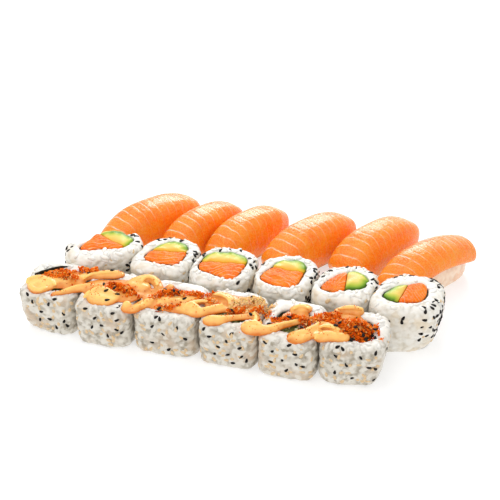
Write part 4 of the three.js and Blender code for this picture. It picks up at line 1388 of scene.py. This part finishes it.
def crumbs():
    """Crumbs heaped on the sauce in ragged trails, with loose ones all over it."""
    random = np.random.default_rng(77)
    places, tones, sizes = [], [], []

    def put(plan, above, tone, size):
        places.append(np.column_stack((plan, tops.at(plan) + above)))
        tones.append(tone)
        sizes.append(size)

    for height, lightness, trail in CRUMB_TRAILS:
        line = resample(smooth_curve(trail, 60), spacing=0.5)
        half = line[:, 2]
        clumps = round(CRUMB_DENSITY / CLUMP * half.sum())
        k = random.choice(len(line), size=clumps, p=half / half.sum())
        centres = line[k, :2] + half[k, None] * random.normal(0, 0.5, (clumps, 2))
        index = np.repeat(np.arange(clumps), random.integers(CLUMP // 3, 2 * CLUMP, clumps))
        count = len(index)
        plan = centres[index] + random.normal(0, 0.7, (count, 2))
        away = np.linalg.norm(plan[:, None] - line[None, :, :2], axis=2) / half
        heap_height = height * (1 + 0.35 * lumps(flat(plan), 3.6, 7)) * np.exp(-1.6 * away.min(axis=1) ** 2)
        heap_height = heap_height + random.uniform(0, 0.7, clumps)[index]
        place = random.uniform(0, 1, count) ** 0.6
        tone = random.normal(lightness, 0.13, count) + random.normal(0, 0.16, clumps)[index]
        # Painted light and shade: crumbs high in a heap are lighter, low ones darker.
        tone = np.clip(tone + 0.3 * (place - 0.7), 0.16, 1)
        long = random.uniform(0.4, 0.82, count)
        wide, thick = (long * random.uniform(*shares, count) for shares in ((0.45, 0.9), (0.35, 0.7)))
        size = np.stack((long, wide, thick), -1)
        dark = random.uniform(0, 1, count) < (MANY_DARK if lightness < DARK_TRAIL else FEW_DARK)
        tone[dark] = 0
        size[dark] *= 1.5
        put(plan, heap_height * place, tone, size)
    loose = []
    for stroke in SAUCE_STROKES + SAUCE_BEDS:
        line = resample(smooth_curve(stroke, 60), spacing=1)
        k = random.choice(len(line), size=2 * len(line))
        angle = random.uniform(0, 2 * math.pi, len(k))
        reach = line[k, 2] * 0.85 * np.sqrt(random.uniform(0, 1, len(k)))
        loose.append(line[k, :2] + polar(reach, angle, 0)[:, :2])
    loose = np.vstack(loose)
    loose = loose[random.uniform(0, 1, len(loose)) < 0.25 + 0.35 * lumps(flat(loose), 12, 21)]
    put(loose, 0.05, random.uniform(0.2, 0.7, len(loose)), random.uniform(0.2, 0.45, (len(loose), 3)))
    count = len(CHILI_FLECKS)
    fleck_sizes = np.array((BIG_FLECK, *(FLECK,) * (count - 1)))
    put(np.array(CHILI_FLECKS, float), 0.5, np.full(count, FLECK_TONE), fleck_sizes)
    places, tones, sizes = np.vstack(places), np.concatenate(tones), np.vstack(sizes)
    carried = places[:, 2] > 0.8 * TOPPED_HEIGHT
    places, tones, sizes = places[carried], tones[carried], sizes[carried]
    shape, faces = BALL_20
    points = (turned_shards(random, shape, sizes) + places[:, None, :]).reshape(-1, 3)
    faces = faces + (np.arange(len(places)) * len(shape))[:, None, None]
    tone = np.repeat(tones, len(shape))
    piece = make_piece("crumb_heaps", points, faces.reshape(-1, 3).tolist(), "crumbs", CRUMB_LOOK, tone=tone)
    piece.data.polygons.foreach_set("use_smooth", np.zeros(len(piece.data.polygons), bool))
    tops.add(points)


for i in range(6):
    topped_roll(i)
    plain_roll(i)
    salmon_slice(i)
    nigiri_rice(i)
seaweed_edge()
sauce()
crumbs()
# Seeds and flakes that lie on the sauce and crumbs.
top_seeds = np.array(TOP_SEEDS, float)
for (x, y), level in zip(top_seeds, tops.at(top_seeds)):
    lean = (random_seeds.uniform(-0.3, 0.3), random_seeds.uniform(-0.5, 0.1), 1)
    add_seed(black, np.array((x, y, level)), lean, random_seeds.uniform(0, math.pi), TOP_BLACK, 0)
for name, heap, look in (("black_sesame_seeds", black, BLACK_SEED), ("pale_sesame_seeds", pale, PALE_SEED)):
    seed_points, seed_faces, _ = heap.all()
    make_piece(name, seed_points, seed_faces, name.rsplit("_", 1)[0], look)

# --- floor, light, camera

CAMERA_AZIMUTH, CAMERA_ELEVATION = math.radians(16.5), math.radians(31)
CAMERA_DISTANCE = 794.2
CAMERA_LENS = 79.2
CAMERA_TARGET = (94.6, 133.5, 0)
FLOOR_REACH = 3

scene = bpy.context.scene
floor_mesh = bpy.data.meshes.new("floor")
floor_corners = [(FLOOR_REACH * x, FLOOR_REACH * y, 0) for x, y in ((-1, -1), (1, -1), (1, 1), (-1, 1))]
floor_mesh.from_pydata(floor_corners, [], [(0, 1, 2, 3)])
floor = new_object("floor", floor_mesh)
floor.location.z = -0.0003
white = Look("floor_white", Roughness=0.7, Emission_Color=(1, 1, 1, 1), Emission_Strength=0.5)
greys = ((0.3, (0.55, 0.55, 0.55)), (0.7, (0.57, 0.57, 0.57)))
white.feed("Base Color", white.ramp(white.noise(300, 1), *greys))
floor_mesh.materials.append(white.material)

world = bpy.data.worlds.new("studio")
scene.world = world
world.use_nodes = True
world.node_tree.nodes["Background"].inputs["Color"].default_value = (1, 1, 1, 1)
world.node_tree.nodes["Background"].inputs["Strength"].default_value = 0.85


def area_light(name, direction, distance, size, power):
    """A soft square light that looks at the set from a direction."""
    lamp = bpy.data.lights.new(name, "AREA")
    lamp.shape = "SQUARE"
    lamp.size = size
    lamp.energy = power
    light = new_object(name, lamp)
    away = Vector(direction).normalized()
    light.location = away * distance
    light.rotation_euler = away.to_track_quat("Z", "Y").to_euler()


area_light("top", (-0.3, -0.1, 1), 0.9, 0.8, 2.1)
area_light("back", (-0.2, 0.84, 0.5), 1.0, 0.42, 4.4)
area_light("front", (0.1, -0.9, 0.55), 1.3, 0.9, 1.5)

target = Vector(metres(CAMERA_TARGET))
ahead = math.cos(CAMERA_ELEVATION)
back = Vector(
    (math.sin(CAMERA_AZIMUTH) * ahead, -math.cos(CAMERA_AZIMUTH) * ahead, math.sin(CAMERA_ELEVATION))
)
camera = new_object("camera", bpy.data.cameras.new("camera"))
camera.data.lens = CAMERA_LENS
camera.data.sensor_width = 36
camera.location = target + back * CAMERA_DISTANCE / 1000
camera.rotation_euler = back.to_track_quat("Z", "Y").to_euler()
scene.camera = camera
scene.view_settings.view_transform = "Standard"
